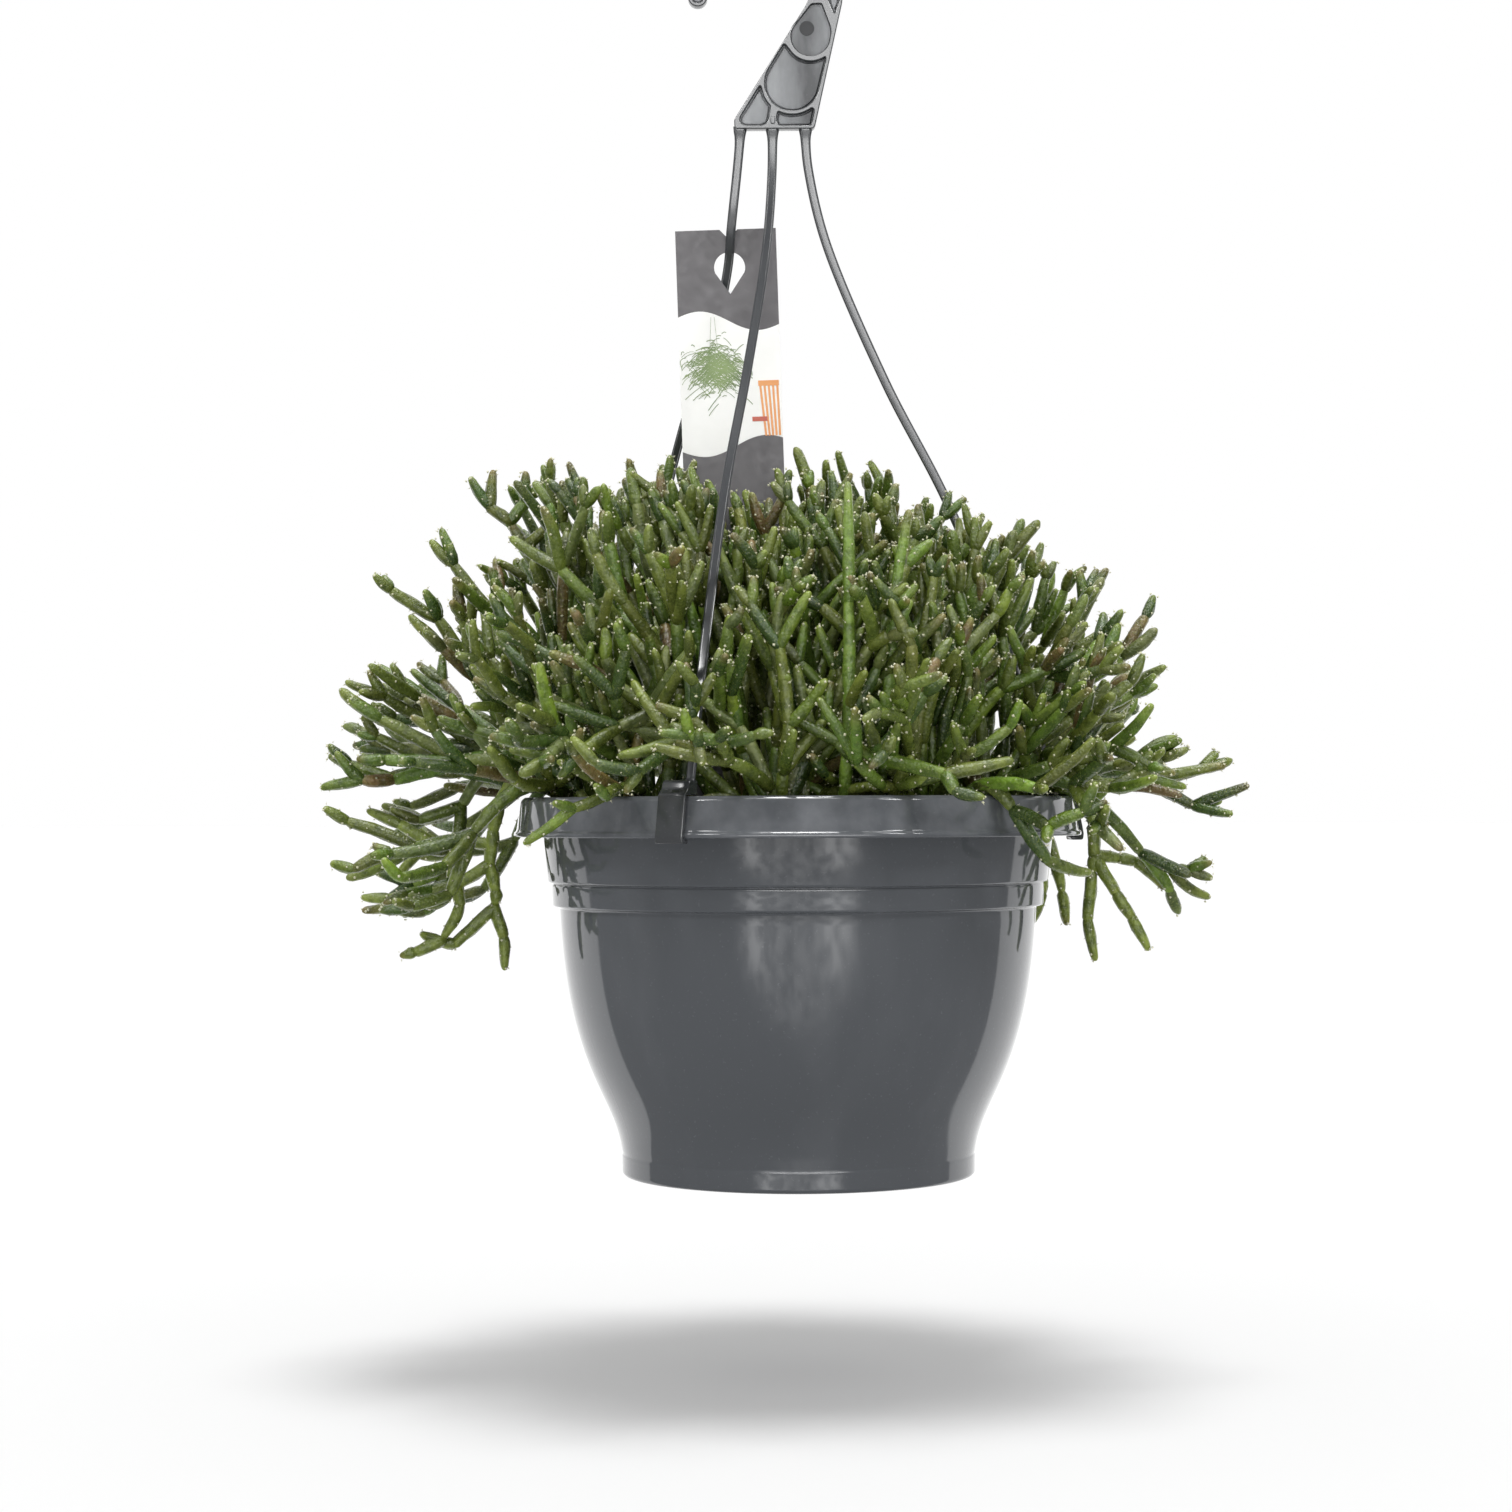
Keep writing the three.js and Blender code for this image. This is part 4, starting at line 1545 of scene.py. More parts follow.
@dataclass
class StemBundle:
    """Stem segments gathered as start, bend, end, radius and tones, then made into one mesh."""

    sides: int = 8
    rings: int = 11
    areole_pitch: float = 3.2 * MM
    tip_areoles: int = 3
    bristles: int = 2
    starts: list[Array] = field(default_factory=list)
    bends: list[Array] = field(default_factory=list)
    ends: list[Array] = field(default_factory=list)
    radii: list[tuple[float, float]] = field(default_factory=list)
    tones: list[Array] = field(default_factory=list)
    is_tip: list[bool] = field(default_factory=list)
    necks: list[float] = field(default_factory=list)

    def add(
        self,
        start: Array,
        bend: Array,
        end: Array,
        radii: tuple[float, float],
        tone: Array,
        tip: bool,
        neck: float = 0.9,
    ) -> None:
        """Add one segment.

        Args:
            start: Where it joins the one before.
            bend: The control point of its curve.
            end: Its far end.
            radii: Its radius near each end.
            tone: Its base colour.
            tip: Whether nothing grows from its end.
            neck: Its width where it leaves its joint, against its full width.
        """
        self.starts.append(start)
        self.bends.append(bend)
        self.ends.append(end)
        self.radii.append(radii)
        self.tones.append(tone)
        self.is_tip.append(tip)
        self.necks.append(neck)

    def curve(self, share: Array) -> tuple[Array, Array]:
        """Places and headings on every segment.

        Args:
            share: For each segment, shares of the way along it.

        Returns:
            The points and the unit headings.
        """
        start, bend, end = (np.array(part)[:, None] for part in (self.starts, self.bends, self.ends))
        part = share[..., None]
        return bent(start, bend, end, part), bent_heading(start, bend, end, part)

    def skin(self, parts: MeshParts, draw: np.random.Generator) -> None:
        """Add every segment's skin: pinched at the joints, fuller between, round at the tips.

        Args:
            parts: The cutting's bodies.
            draw: The cutting's random draws.
        """
        self.reach_into_joints()
        count = len(self.starts)
        chord = np.linalg.norm(np.array(self.ends) - np.array(self.starts), axis=1)
        radii = np.array(self.radii)
        cap = np.clip(radii.mean(axis=1) / chord, 0, 0.3)[:, None]
        inner = np.linspace(0, 1, self.rings - 4)[None]
        share = np.concatenate(
            [cap * 0.12, cap * 0.5, cap + (1 - 2 * cap) * inner, 1 - cap * 0.5, 1 - cap * 0.12], axis=1
        )
        tips = np.array(self.is_tip)[:, None]
        body = 1 + 0.1 * np.sin(math.pi * np.clip(inner * 1.1 - 0.02, 0, 1)) + 0 * cap
        body *= np.where(tips, 1 - 0.2 * inner**2, 1)
        necks = np.array(self.necks)[:, None]
        body[:, :1] *= necks
        body[:, -1:] *= np.where(tips, 0.95, necks + 0.02)
        ends = np.where(tips, 0.62, 0.66)
        close = np.where(tips, 0.34, 0.36)
        shape = np.concatenate([0.36 + 0 * cap, 0.66 + 0 * cap, body, ends, close], axis=1)
        width = radii[:, :1] * (1 - share) + radii[:, 1:] * share
        points, heading = self.curve(share)
        across, over = crosswise(heading, unit(heading.mean(axis=1))[:, None])
        angle = np.linspace(0, 2 * math.pi, self.sides, endpoint=False)
        phase = draw.uniform(0, 2 * math.pi, (count, 1, 1))
        lumps = 1 + 0.06 * np.sin(3 * angle + phase + share[..., None] * chord[:, None, None] / (2.2 * MM))
        lumps = lumps + draw.normal(0, 0.02, (count, share.shape[1], self.sides))
        spread = (width * shape)[..., None] * lumps
        rings = points[:, :, None] + spread[..., None] * (
            np.cos(angle)[:, None] * across[:, :, None] + np.sin(angle)[:, None] * over[:, :, None]
        )
        poles = np.stack([np.array(self.starts), np.array(self.ends)], axis=1)
        each = share.shape[1] * self.sides
        vertices = np.concatenate([rings.reshape(count, each, 3), poles], axis=1)
        tone = self.segment_tones(share, draw)
        tones = np.concatenate([np.repeat(tone, self.sides, axis=1), tone[:, :1], tone[:, -1:]], axis=1)
        base = (np.arange(count) * (each + 2))[:, None, None]
        quads, caps = tube_faces(share.shape[1], self.sides)
        faces = [(quads + base).reshape(-1, 4), (caps + base).reshape(-1, 3)]
        parts.add(vertices.reshape(-1, 3), faces, 0, tones.reshape(-1, 3))

    def reach_into_joints(self) -> None:
        """Lengthen every segment a little past its joints, so that it meets its neighbours."""
        start, bend, end = np.array(self.starts), np.array(self.bends), np.array(self.ends)
        radii = np.array(self.radii)
        reach = 0.75 + 4 * (np.array(self.necks)[:, None] - 0.9)
        past = np.where(np.array(self.is_tip)[:, None], 0.0, reach)
        self.starts = start - unit(bend - start) * radii[:, :1] * reach
        self.ends = end + unit(end - bend) * radii[:, 1:] * past

    def segment_tones(self, share: Array, draw: np.random.Generator) -> Array:
        """Colours along each segment: darker below, yellower and sometimes browner at a tip.

        Args:
            share: For each segment, shares of the way along it.
            draw: The cutting's random draws.

        Returns:
            A colour for every share.
        """
        base = np.array(self.tones)[:, None]
        tips = np.array(self.is_tip)[:, None, None]
        part = share[..., None]
        lift = 0.82 + 0.34 * part
        warm = draw.random((len(self.starts), 1, 1))
        tip_tone = np.where(warm < 0.25, np.array([0.24, 0.15, 0.06]), np.array([0.27, 0.33, 0.05]))
        near_tip = np.clip((part - 0.6) / 0.4, 0, 1) ** 1.5 * np.where(tips, 0.65, 0.2)
        return base * lift * (1 - near_tip) + tip_tone * near_tip

    def areoles(self, parts: MeshParts, draw: np.random.Generator) -> None:
        """Add the pale tufts: in a spiral along each segment, and crowded at a tip.

        Args:
            parts: The cutting's bodies.
            draw: The cutting's random draws.
        """
        chord = np.linalg.norm(np.array(self.ends) - np.array(self.starts), axis=1)
        pitch = self.areole_pitch
        spots: list[tuple[int, float, float]] = []
        for i, length in enumerate(chord):
            turn = draw.uniform(0, 2 * math.pi)
            for k in range(1, int(length / pitch) + 1):
                spots.append((i, min(k * pitch / length, 0.97), turn + k * GOLDEN_TURN))
            if self.is_tip[i]:
                for _ in range(self.tip_areoles):
                    spots.append((i, draw.uniform(0.93, 0.99), draw.uniform(0, 2 * math.pi)))
        number, share, angle = (np.array(column) for column in zip(*spots))
        start, bend, end = (np.array(part)[number] for part in (self.starts, self.bends, self.ends))
        part = share[:, None]
        points, heading = bent(start, bend, end, part), bent_heading(start, bend, end, part)
        across, over = crosswise(heading)
        out = np.cos(angle)[:, None] * across + np.sin(angle)[:, None] * over
        radii = np.array(self.radii)[number]
        width = radii[:, 0] * (1 - share) + radii[:, 1] * share
        rounding = np.sqrt(np.clip(1 - np.clip((share - 0.9) / 0.1, 0, 1) ** 2, 0.1, 1))
        seat = points + out * (width * 1.04 * rounding)[:, None]
        self.tufts(parts, draw, seat, out, heading, np.cross(heading, out))

    def tufts(
        self, parts: MeshParts, draw: np.random.Generator, seat: Array, out: Array, along: Array, side: Array
    ) -> None:
        """Add a flat pad and its bristles at every areole.

        Args:
            parts: The cutting's bodies.
            draw: The cutting's random draws.
            seat: Where the areoles sit on the skin.
            out: Straight out from the skin there.
            along: Along the stem there.
            side: Round the stem there.
        """
        count = len(seat)
        size = draw.uniform(0.3, 0.72, count)[:, None] * MM
        pad = np.stack(
            [
                seat + along * size,
                seat + side * size,
                seat - along * size,
                seat - side * size,
                seat + out * size * 0.8,
                seat - out * size * 0.6,
            ],
            axis=1,
        )
        shell = np.array([[i, (i + 1) % 4, 4] for i in range(4)] + [[(i + 1) % 4, i, 5] for i in range(4)])
        base = (np.arange(count) * 6)[:, None, None]
        parts.add(pad.reshape(-1, 3), [(shell + base).reshape(-1, 3)], 1)
        thick = 0.09 * MM
        for _ in range(self.bristles):
            lean = out + along * draw.uniform(-0.2, 0.9, (count, 1))
            lean = unit(lean + side * draw.uniform(-0.7, 0.7, (count, 1)))
            reach = draw.uniform(0.5, 1.5, (count, 1)) * MM
            foot = [seat + along * thick, seat + side * thick, seat - (along + side) * thick]
            thorn = np.stack([*foot, seat + lean * reach], axis=1)
            spike = np.array([[0, 1, 3], [1, 2, 3], [2, 0, 3], [0, 2, 1]])
            base = (np.arange(count) * 4)[:, None, None]
            parts.add(thorn.reshape(-1, 3), [(spike + base).reshape(-1, 3)], 1)


class Tone(Enum):
    """The stems' colours, from the deep green inside to the browned ones."""

    OLIVE = (0.125, 0.16, 0.025)
    LEAF = (0.1, 0.165, 0.02)
    DEEP = (0.045, 0.085, 0.014)
    GREY = (0.145, 0.178, 0.052)
    FRESH = (0.15, 0.235, 0.022)
    BROWN = (0.15, 0.1, 0.036)


TONE_SHARES = {
    Tone.OLIVE: 0.4,
    Tone.LEAF: 0.2,
    Tone.DEEP: 0.18,
    Tone.GREY: 0.12,
    Tone.FRESH: 0.06,
    Tone.BROWN: 0.04,
}


@dataclass
class Cutting:
    """One rooted cutting: main stems from its plug, forking again and again towards the bush's outline."""

    number: int
    spread: tuple[float, float]
    elevations: tuple[float, float]
    stems: int
    outline: Outline
    obstacles: Obstacles
    sprays: tuple = ()
    bundle: StemBundle = field(default_factory=StemBundle)

    def __post_init__(self) -> None:
        """Seed the cutting's own random draws."""
        self.draw = np.random.default_rng(100 + self.number)

    def tone(self) -> Array:
        """Pick a segment's base colour."""
        names = list(TONE_SHARES)
        pick = names[self.draw.choice(len(names), p=list(TONE_SHARES.values()))]
        return np.array(pick.value) * self.draw.uniform(0.75, 1.25) * self.draw.uniform(0.93, 1.07, 3)

    def painted_lit_tone(self, tone: Tone) -> Array:
        """A listed stem's colour, painted brighter as painted light because it stands clear of the others.
        """
        return np.array(tone.value) * self.draw.uniform(1.35, 1.75)

    def root(self) -> Array:
        """A place on the plug where a stem comes up."""
        low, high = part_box(f"root_plug_{self.number:02d}")
        x, y = on_circle(self.draw.uniform(1, 9) * MM, self.draw.uniform(0, 360))
        return np.array([(low.x + high.x) / 2 + x, (low.y + high.y) / 2 + y, high.z - 4 * MM])

    def targets(self) -> list[Array]:
        """Directions that the main stems make for, spread evenly over the cutting's share of the bush.

        Returns:
            Unit directions from the bush's middle.
        """
        low, high = (math.sin(math.radians(e)) for e in self.elevations)
        found = []
        for i in range(self.stems):
            azimuth = np.interp((i * GOLDEN_SHARE + self.draw.uniform(0, 0.15)) % 1, [0, 1], self.spread)
            floor = max(low, math.sin(math.radians(self.outline.lowest_at(azimuth))))
            rise = math.asin(floor + (high - floor) * (i + self.draw.uniform(0.1, 0.9)) / self.stems)
            flat = math.cos(rise)
            found.append(np.array([*on_circle(flat, azimuth), math.sin(rise)]))
        return found

    def main_stem(self, direction: Array) -> None:
        """Grow one main stem towards the outline, higher over the rim if it doesn't clear it at first.

        Args:
            direction: Where it makes for, seen from the bush's middle.
        """
        middle = np.array(self.outline.middle) * MM
        for attempt in range(6):
            start = self.root()
            reach = self.outline.limit(direction[None])[0] * self.draw.uniform(0.54, 0.82)
            goal = middle + direction * reach
            span = np.linalg.norm(goal - start)
            arch = float(np.interp(direction[2], [-0.5, 0.1, 0.9], [0.62, 0.36, 0.06]))
            lift = span * arch + 5 * attempt * MM
            knee = start + (goal - start) * 0.46 + UP * lift + self.draw.normal(0, 9, 3) * MM
            shares = np.linspace(0, 1, 17)[:, None]
            path = bent(start, knee, goal, shares)
            radius = self.draw.uniform(2.4, 3.0) * MM
            path = self.obstacles.clear_of_pot(self.obstacles.steer(path, radius), radius)
            if not self.obstacles.in_pot(smooth_path(path, 60), radius * 0.9):
                self.grow_along(path, radius)
                return

    def grow_along(self, path: Array, radius: float) -> None:
        """Make a main stem's segments along a path and let shoots leave its joints.

        Args:
            path: The stem's middle line.
            radius: Its radius where it comes up.
        """
        length = np.linalg.norm(np.diff(path, axis=0), axis=1).sum()
        joints = max(2, round(length / (self.draw.uniform(30, 44) * MM)))
        marks = np.linspace(0, len(path) - 1, joints + 1)
        marks[1:-1] += self.draw.uniform(-0.2, 0.2, joints - 1) * (len(path) - 1) / joints
        for i in range(joints):
            ends = [self.at(path, mark) for mark in (marks[i], (marks[i] + marks[i + 1]) / 2, marks[i + 1])]
            bend = 2 * ends[1] - (ends[0] + ends[2]) / 2
            thin = 1 - 0.1 * i / joints
            radii = (radius * thin, radius * thin * 0.94)
            self.bundle.add(ends[0], bend, ends[2], radii, self.tone(), False)
            heading = unit(ends[2] - bend)
            if i == joints - 1:
                self.fork(ends[2], heading, radius * 0.93, 1, self.draw.choice([2, 3, 3, 4]))
            elif i > 0 or joints == 2:
                self.fork(ends[2], heading, radius * 0.9, 1, self.draw.choice([1, 2, 2]), side=True)

    @staticmethod
    def at(path: Array, mark: float) -> Array:
        """The place on a path at a fractional index."""
        low = min(int(mark), len(path) - 2)
        return path[low] + (path[low + 1] - path[low]) * (mark - low)

    def fork(
        self, joint: Array, heading: Array, radius: float, order: int, count: int, side: bool = False
    ) -> None:
        """Grow a whorl of shoots from a joint.

        Args:
            joint: Where they grow from.
            heading: Where the stem before them was heading.
            radius: Their radius.
            order: How many joints out they are.
            count: How many shoots.
            side: Whether the stem itself goes on past this joint.
        """
        spin = self.draw.uniform(0, 2 * math.pi)
        across, over = crosswise(heading)
        for k in range(count):
            for _ in range(5):
                turn = spin + 2 * math.pi * k / count + self.draw.normal(0, 0.35)
                angle = math.radians(self.draw.uniform(32, 60) if side else self.draw.uniform(20, 50))
                lean = math.cos(turn) * across + math.sin(turn) * over
                way = math.cos(angle) * heading + math.sin(angle) * lean
                if self.shoot(joint, way, radius, order, side):
                    break

    def shoot(self, joint: Array, way: Array, radius: float, order: int, side: bool) -> bool:
        """Grow one shoot, if it has room.

        Args:
            joint: Where it starts.
            way: Its first heading.
            radius: Its radius.
            order: How many joints out it is.
            side: Whether it leaves the side of a longer stem.

        Returns:
            Whether it grew.
        """
        outward = unit(joint - np.array(self.outline.middle) * MM)
        spread = outward[1] ** 2 * float(np.interp(self.outline.depth(joint)[0], [0.5, 0.9], [0.1, 0.8]))
        way = unit(way - spread * max(way @ outward, 0) * outward + 0.4 * (1 - spread) * outward)
        way = unit(way + UP * (0.16 + 0.2 * max(outward[2], 0)))
        longest = {1: (18, 38), 2: (13, 30), 3: (9, 18)}[order]
        length = self.draw.uniform(*longest) * MM * (1.15 if side else 1.0)
        end_way = unit(way + np.array([0, 0, self.draw.uniform(-0.15, 0.3)]))
        for _ in range(3):
            end = joint + (way + end_way) / 2 * length
            if self.outline.depth(end)[0] < 1 + self.draw.uniform(-0.16, 0.05):
                break
            length *= 0.68
        else:
            return False
        if length < 7 * MM:
            return False
        stretch = self.obstacles.clear_of_pot(np.array([joint, (joint + end) / 2, end]), radius)
        bend = joint + way * length * 0.5 + self.draw.normal(0, 0.05, 3) * length
        end = stretch[2]
        shares = np.linspace(0, 1, 6)[1:, None]
        line = bent(joint, bend, end, shares)
        if self.outline.hangs_too_low(end) or self.obstacles.hits(line, radius):
            return False
        goes_on = order < 3 and self.draw.random() < {1: 0.8, 2: 0.3}[order]
        self.bundle.add(joint, bend, end, (radius, radius * 0.9), self.tone(), not goes_on)
        if goes_on:
            self.fork(end, end_way, radius * 0.93, order + 1, self.draw.choice([1, 2, 2, 3]))
        return True

    def spray(self, branches: Sequence[Points], tone: Optional[Tone] = None) -> None:
        """Grow a spray along its given points.

        Args:
            branches: Each branch's points in millimetres, its joints included.
            tone: Its colour, painted brighter as painted light, or None to pick one for each segment.
        """
        for branch in branches:
            points = np.array(branch, float) * MM
            radius = (2.75 if len(branch) > 5 else 2.4) * MM
            for i in range(len(points) - 1):
                last = i == len(points) - 2
                before = points[i] - points[i - 1] if i else points[1] - points[0]
                bend = points[i] + unit(before) * np.linalg.norm(points[i + 1] - points[i]) * 0.3
                bend = (bend + (points[i] + points[i + 1]) / 2) / 2
                width = radius * (1 - 0.12 * i / len(points))
                # A given tone is painted brighter: painted light on stems that stand clear of the bush.
                colour = self.tone() if tone is None else self.painted_lit_tone(tone)
                radii, neck = (width, width * 0.95), 0.9 if i % 2 else 0.97
                self.bundle.add(points[i], bend, points[i + 1], radii, colour, last, neck)

    def build(self, finishes: Finishes) -> bpy.types.Object:
        """Make the cutting.

        Args:
            finishes: The plant's materials.

        Returns:
            The cutting.
        """
        for direction in self.targets():
            self.main_stem(direction)
        for branches, tone in self.sprays:
            self.spray(branches, tone)
        parts = MeshParts()
        segments, tips = len(self.bundle.ends), sum(self.bundle.is_tip)
        log.info("cutting %d: %d segments, %d tips", self.number, segments, tips)
        self.bundle.skin(parts, self.draw)
        self.bundle.areoles(parts, self.draw)
        piece = parts.build(f"rhipsalis_cutting_{self.number:02d}", [finishes.stem, finishes.wool])
        return place(piece, Slot.STEM, f"cutting_{self.number:02d}")


@dataclass
class Bush:
    """All the cuttings, each with its share of the bush."""

    pot: Pot
    hanger: Hanger
    label: PlantLabel
    inner: int = 5
    inner_stems: int = 8
    outer_stems: int = 14

    def left_spray(self) -> list[Points]:
        """The forked spray that hangs over the rim on the left.

        Returns:
            Each branch's points, in millimetres.
        """
        y = -14
        return [
            [
                [-84, y, 138], [-98, y, 164], [-112, y, 163], [-120.3, y, 150], [-122.7, y, 138.6],
                [-124, y, 126], [-121.5, y, 115], [-122.3, y, 108.6],
            ],
            [[-122.3, y, 108.6], [-118.6, y, 97], [-118.2, y, 83.2]],
            [
                [-124, y, 126], [-137, y - 3, 117.8], [-152.9, y - 5, 114.5],
                [-163.4, y - 6, 112.5], [-175.2, y - 7, 113.3],
            ],
            [[-137, y - 3, 117.8], [-135.4, y - 5, 110], [-142.7, y - 6, 96.2]],
            [[-122.3, y, 108.6], [-137.8, y - 3, 94.2], [-144.3, y - 3, 95.4], [-152, y - 3, 98.6]],
            [[-143, y - 6, 95.4], [-152.9, y - 8, 91.3], [-159.4, y - 9, 89.7]],
            [[-123.6, y, 134], [-137, y + 4, 135.6], [-148.4, y + 5, 134.5], [-162.6, y + 4, 120.2]],
            [[-148.4, y + 5, 134.5], [-161, y + 8, 142], [-175, y + 10, 148]],
        ]

    def high_left_spray(self) -> list[Points]:
        """The forked stems that stand clear of the bush's upper left.

        Returns:
            Each branch's points, in millimetres.
        """
        return [
            [
                [-58, 24, 138], [-72, 16, 178], [-88, 10, 214], [-102.8, 6, 241.2],
                [-110.9, 4, 255.4], [-117, 3, 265.6],
            ],
            [[-117, 3, 265.6], [-125.2, 2, 271.7], [-133.3, 0, 284]],
            [[-125.2, 2, 271.7], [-123.9, 3, 287.2]],
            [[-117, 3, 265.6], [-108.9, 5, 276.5], [-101.5, 6, 283]],
            [[-110.5, 4, 274], [-110.6, 2, 286.5]],
            [[-110.9, 4, 255.4], [-103, 2, 262], [-97, 0, 271]],
        ]

    def high_middle_spray(self) -> list[Points]:
        """The forked stems left of the label.

        Returns:
            Each branch's points, in millimetres.
        """
        return [
            [[-40, -8, 140], [-54, -2, 186], [-64, 3, 222], [-70.2, 5, 249.3], [-72.2, 6, 263.6]],
            [[-72.2, 6, 263.6], [-75.5, 6, 272], [-78.3, 5, 280]],
            [[-72.2, 6, 263.6], [-64.1, 5, 274], [-57.6, 5, 280.7]],
            [[-65.5, 5, 272], [-69.4, 4, 279.5]],
            [[-36, -14, 196], [-45, -9, 240], [-48.5, -6, 262], [-45.7, -4, 277], [-40.9, -4, 290]],
        ]

    def front_upright(self) -> list[Points]:
        """The long straight stems that stand in front, right of the middle.

        Returns:
            Each branch's points, in millimetres.
        """
        return [
            [[16, -84, 140], [18, -97, 176], [18.5, -95, 226], [18.5, -86, 272]],
            [[30, -78, 140], [33, -88, 186], [36, -86, 226], [42, -80, 262]],
        ]

    def right_spray(self) -> list[Points]:
        """The forked spray that hangs over the rim on the right.

        Returns:
            Each branch's points, in millimetres.
        """
        y = -10
        return [
            [
                [80, y, 138], [98, y, 164], [110, y, 163], [118.5, y, 150], [119.5, y, 140],
                [119.8, y, 128.8], [118.8, y, 120.8],
            ],
            [[118.8, y, 120.8], [117.0, y, 103], [120.2, y, 86]],
            [[119.8, y, 128.8], [128, y - 3, 113.7], [134.5, y - 4, 103.3], [141, y - 5, 90.3]],
            [[119.8, y, 128.8], [129.3, y + 3, 127.6], [137.7, y + 4, 126], [148.8, y + 4, 114.7]],
            [[137.7, y + 4, 126], [146, y + 6, 120], [151.4, y + 6, 116]],
        ]

    def rear_right_spray(self) -> list[Points]:
        """The spray that hangs behind the right side of the pot.

        Returns:
            Each branch's points, in millimetres.
        """
        y = 52
        return [
            [
                [66, 56, 139], [84, 60, 164], [95, 62, 164], [104, 60, 150], [106.5, 58, 139],
                [110.5, y, 124.7], [113.1, y, 111.1],
            ],
            [[113.1, y, 111.1], [115, y, 98]],
            [[106.5, 58, 136], [104.6, y, 120], [104.6, y, 111.1], [98, y, 96.2]],
        ]

    def borders(self) -> list[tuple[float, float]]:
        """Between which directions each outer cutting grows."""
        edges = [7, 52, 90, 128, 168, 207, 246.6, 287, 327, 367]
        return list(zip(edges[:-1], edges[1:]))

    def cuttings(self) -> list[Cutting]:
        """Set out every cutting.

        Returns:
            The cuttings.
        """
        lines = [self.hanger.arm_line(name, direction, 60) for name, direction in self.hanger.directions]
        clips = tuple(direction for _, direction in self.hanger.directions)
        obstacles = Obstacles(self.pot, lines, clips, self.label)
        outline = Outline()
        found = []
        for i in range(self.inner):
            middle = 180 + 360 / self.inner * (i + 0.5)
            spread = (middle - 36, middle + 36)
            high = ((self.high_middle_spray(), None),) if i == 0 else ()
            found.append(Cutting(i + 1, spread, (48, 88), self.inner_stems, outline, obstacles, high))
        # A spray's tone given here is painted brighter in Cutting.spray, as painted light.
        sprays = {
            0: ((self.rear_right_spray(), Tone.OLIVE),),
            3: ((self.left_spray(), Tone.OLIVE), (self.high_left_spray(), None)),
            6: ((self.front_upright(), Tone.LEAF),),
            8: ((self.right_spray(), Tone.OLIVE),),
        }
        for i, spread in enumerate(self.borders()):
            number = self.inner + i + 1
            laid = sprays.get(i, ())
            found.append(Cutting(number, spread, (-32, 60), self.outer_stems, outline, obstacles, laid))
        return found

    def build(self, finishes: Finishes) -> None:
        """Make every cutting."""
        for cutting in self.cuttings():
            cutting.build(finishes)


# ---------------------------------------------------------------- studio


@dataclass(frozen=True)
class Window:
    """A soft bright patch of the room, seen only in reflections."""

    heading: tuple[float, float, float]
    glow: float
    squeeze: tuple[float, float, float] = (1.0, 1.0, 0.45)
    core: float = 0.03
    edge: float = 0.24


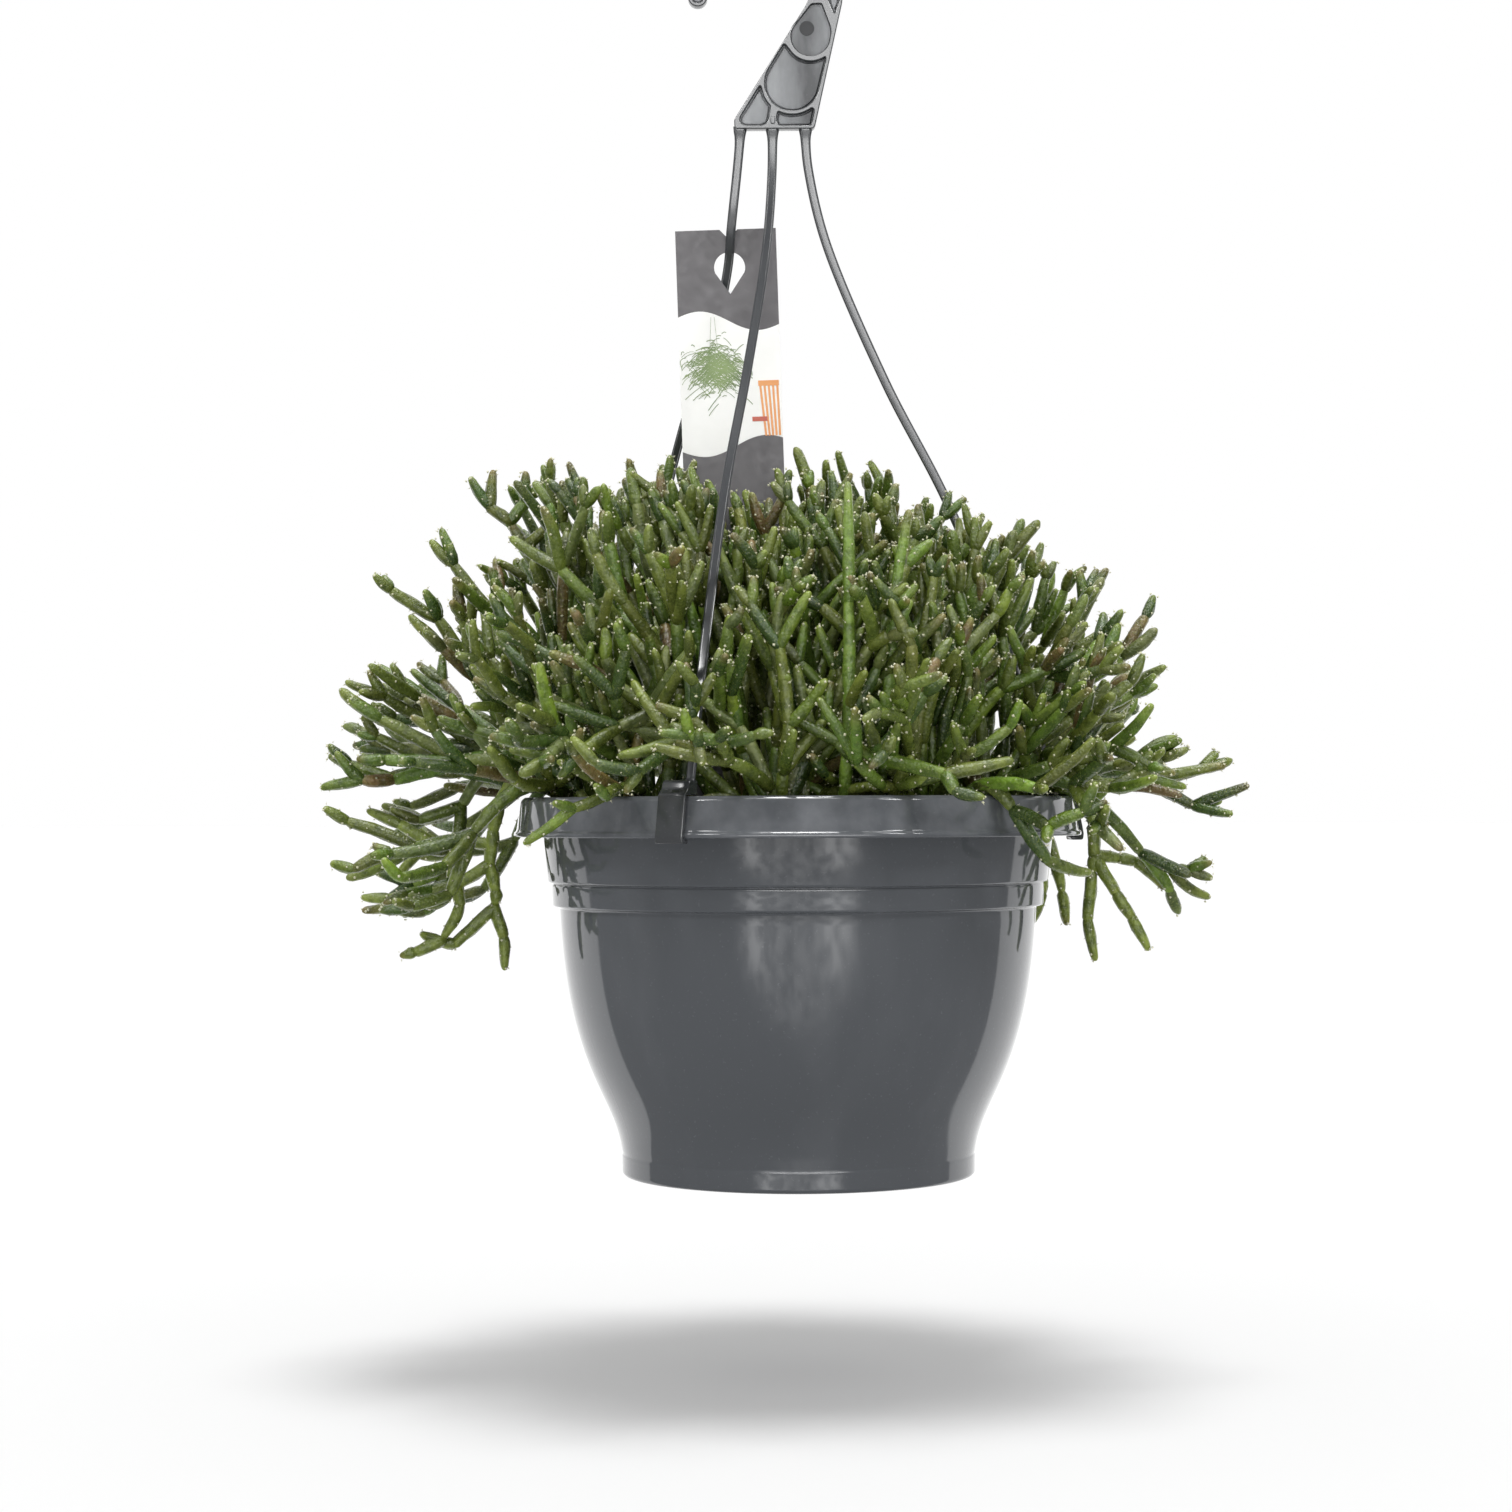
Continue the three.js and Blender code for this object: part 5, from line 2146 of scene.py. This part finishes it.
@dataclass
class Studio:
    """The floor, the lights and the camera."""

    floor_level: float = -0.081
    floor_glow: float = 0.13
    camera_place: tuple = (-0.0168, -1.222, 0.1467)
    pitch: float = 1.07
    roll: float = 0.2
    lens: float = 71.4
    ambient: float = 0.56
    dim_front: float = 0.3
    bright_back: float = 1.4
    sun_energy: float = 1.82
    sun_angle: float = 20.0
    lamp_energy: float = 8.0
    lamp_size: float = 0.35
    off_the_floor: Optional[bpy.types.Collection] = None
    windows: tuple = (
        Window((-0.33, -0.93, -0.16), 1.8, (1.0, 1.0, 1.0), 0.03, 0.24),
        Window((0.31, -0.94, -0.16), 1.8, (1.0, 1.0, 1.0), 0.03, 0.24),
        Window((0.02, -0.98, -0.18), 1.0, (0.8, 1.0, 1.0), 0.12, 0.5),
        Window((0.05, -0.97, 0.2), 6.0, (0.35, 0.3, 1.0), 0.12, 0.21),
        Window((0.05, -0.2, 0.98), 5.0, (0.4, 1.0, 1.0), 0.12, 0.3),
    )

    def floor(self) -> None:
        """Lay a wide pale floor."""
        place_at = (0, 20, self.floor_level)
        bpy.ops.mesh.primitive_grid_add(x_subdivisions=8, y_subdivisions=8, size=60, location=place_at)
        floor = bpy.context.object
        floor.name = "studio_floor"
        board = NodeBoard.fresh("pale_floor")
        board.link(board.mixed(board.cloud(3, 2), (0.77, 0.77, 0.77), (0.79, 0.79, 0.79)), "Base Color")
        board.shader.inputs["Emission Color"].default_value = (1, 1, 1, 1)
        board.shader.inputs["Emission Strength"].default_value = self.floor_glow
        board.shader.inputs["Roughness"].default_value = 0.9
        board.shader.inputs["Specular IOR Level"].default_value = 0.1
        floor.data.materials.append(board.owner)
        floor.visible_glossy = False
        self.off_the_floor = bpy.data.collections.new("off_the_floor")
        self.off_the_floor.objects.link(floor)
        self.off_the_floor.collection_objects[0].light_linking.link_state = "EXCLUDE"

    def surroundings(self) -> None:
        """Light the room: plain white to the eye, soft all round, and to a glossy surface white behind
        the plant, dim in front, with soft windows."""
        world = bpy.data.worlds.new("studio")
        bpy.context.scene.world = world
        world.use_nodes = True
        tree = world.node_tree
        node = NodeBoard(world).node
        direction = node("TexCoord").outputs["Generated"]
        patches = node("TexNoise", {"Vector": direction, "Scale": 13, "Detail": 3}).outputs["Fac"]
        broken = {"Value": patches, "From Min": 0.38, "From Max": 0.62, "To Min": 0.4, "To Max": 1.4}
        broken = node("MapRange", broken).outputs[0]
        along = node("SeparateXYZ", {0: direction}).outputs["Y"]
        span = {"From Min": 0.385, "From Max": 0.4, "To Min": self.dim_front, "To Max": self.bright_back}
        total = node("MapRange", {"Value": along, **span}).outputs[0]
        for window in self.windows:
            squeezed = node("Mapping", {"Vector": direction, "Scale": window.squeeze}).outputs[0]
            spot = tuple(a * b for a, b in zip(window.heading, window.squeeze))
            gap = node("VectorMath", {0: squeezed, 1: spot}, operation="DISTANCE").outputs["Value"]
            reach = {"From Min": window.core, "From Max": window.edge, "To Min": window.glow, "To Max": 0}
            soft = node("MapRange", {"Value": gap, **reach}, interpolation_type="SMOOTHERSTEP").outputs[0]
            patchy = node("Math", {0: soft, 1: broken}, operation="MULTIPLY").outputs[0]
            total = node("Math", {0: total, 1: patchy}, operation="ADD").outputs[0]
        rays = node("LightPath")
        glossy = node("Mix", {0: rays.outputs["Is Glossy Ray"], 2: self.ambient, 3: total}).outputs[0]
        seen = node("Mix", {0: rays.outputs["Is Camera Ray"], 2: glossy, 3: 1.0}).outputs[0]
        tree.links.new(seen, tree.nodes["Background"].inputs["Strength"])
        tree.nodes["Background"].inputs["Color"].default_value = (1, 1, 1, 1)

    def lamp(
        self,
        name: str,
        kind: str,
        energy: float,
        place_at: Sequence[float],
        aim: Sequence[float],
        **settings: float,
    ) -> bpy.types.Object:
        """Hang one light.

        Args:
            name: Its name.
            kind: Blender's type of light.
            energy: Its strength.
            place_at: Where it hangs.
            aim: The point that it looks at.
            settings: Other properties of the light.

        Returns:
            The light's object.
        """
        light = bpy.data.lights.new(name, kind)
        light.energy = energy
        for key, value in settings.items():
            setattr(light, key, value)
        holder = bpy.data.objects.new(name, light)
        holder.location = place_at
        holder.rotation_euler = (Vector(aim) - Vector(place_at)).to_track_quat("-Z", "Y").to_euler()
        bpy.context.scene.collection.objects.link(holder)
        return holder

    def lights(self) -> None:
        """Hang the soft overhead light and two small lamps in front, which don't light the floor."""
        sun_angle = math.radians(self.sun_angle)
        self.lamp("overhead", "SUN", self.sun_energy, (0, 0, 3), (-0.12, 0.1, 0), angle=sun_angle)
        for name, place_at in (("lamp_left", (-0.9, -0.9, 1.2)), ("lamp_right", (0.95, -0.85, 1.25))):
            holder = self.lamp(name, "AREA", self.lamp_energy, place_at, (0, 0, 0.15), size=self.lamp_size)
            holder.light_linking.receiver_collection = self.off_the_floor

    def camera(self) -> None:
        """Set up the camera level with the rim."""
        data = bpy.data.cameras.new("camera")
        data.lens, data.sensor_width = self.lens, 36
        camera = bpy.data.objects.new("camera", data)
        camera.location = self.camera_place
        camera.rotation_euler = (math.radians(90 + self.pitch), math.radians(self.roll), 0)
        bpy.context.scene.collection.objects.link(camera)
        bpy.context.scene.camera = camera

    def build(self) -> None:
        """Make the whole studio."""
        bpy.context.scene.view_settings.view_transform = "Standard"
        self.camera()
        self.floor()
        self.surroundings()
        self.lights()


def main() -> None:
    """Build the plant piece by piece."""
    logging.basicConfig(level=logging.INFO, format="%(name)s: %(message)s")
    Studio().build()
    finishes = Finishes.make()
    pot, hanger, label = Pot(), Hanger(), PlantLabel()
    pot.build(finishes)
    growing = Growing(pot)
    growing.soil(finishes)
    for number in range(1, PLUGS + 1):
        growing.plug(number, finishes)
    hanger.build(finishes)
    label.build(finishes)
    Bush(pot, hanger, label).build(finishes)


if __name__ == "__main__":
    main()
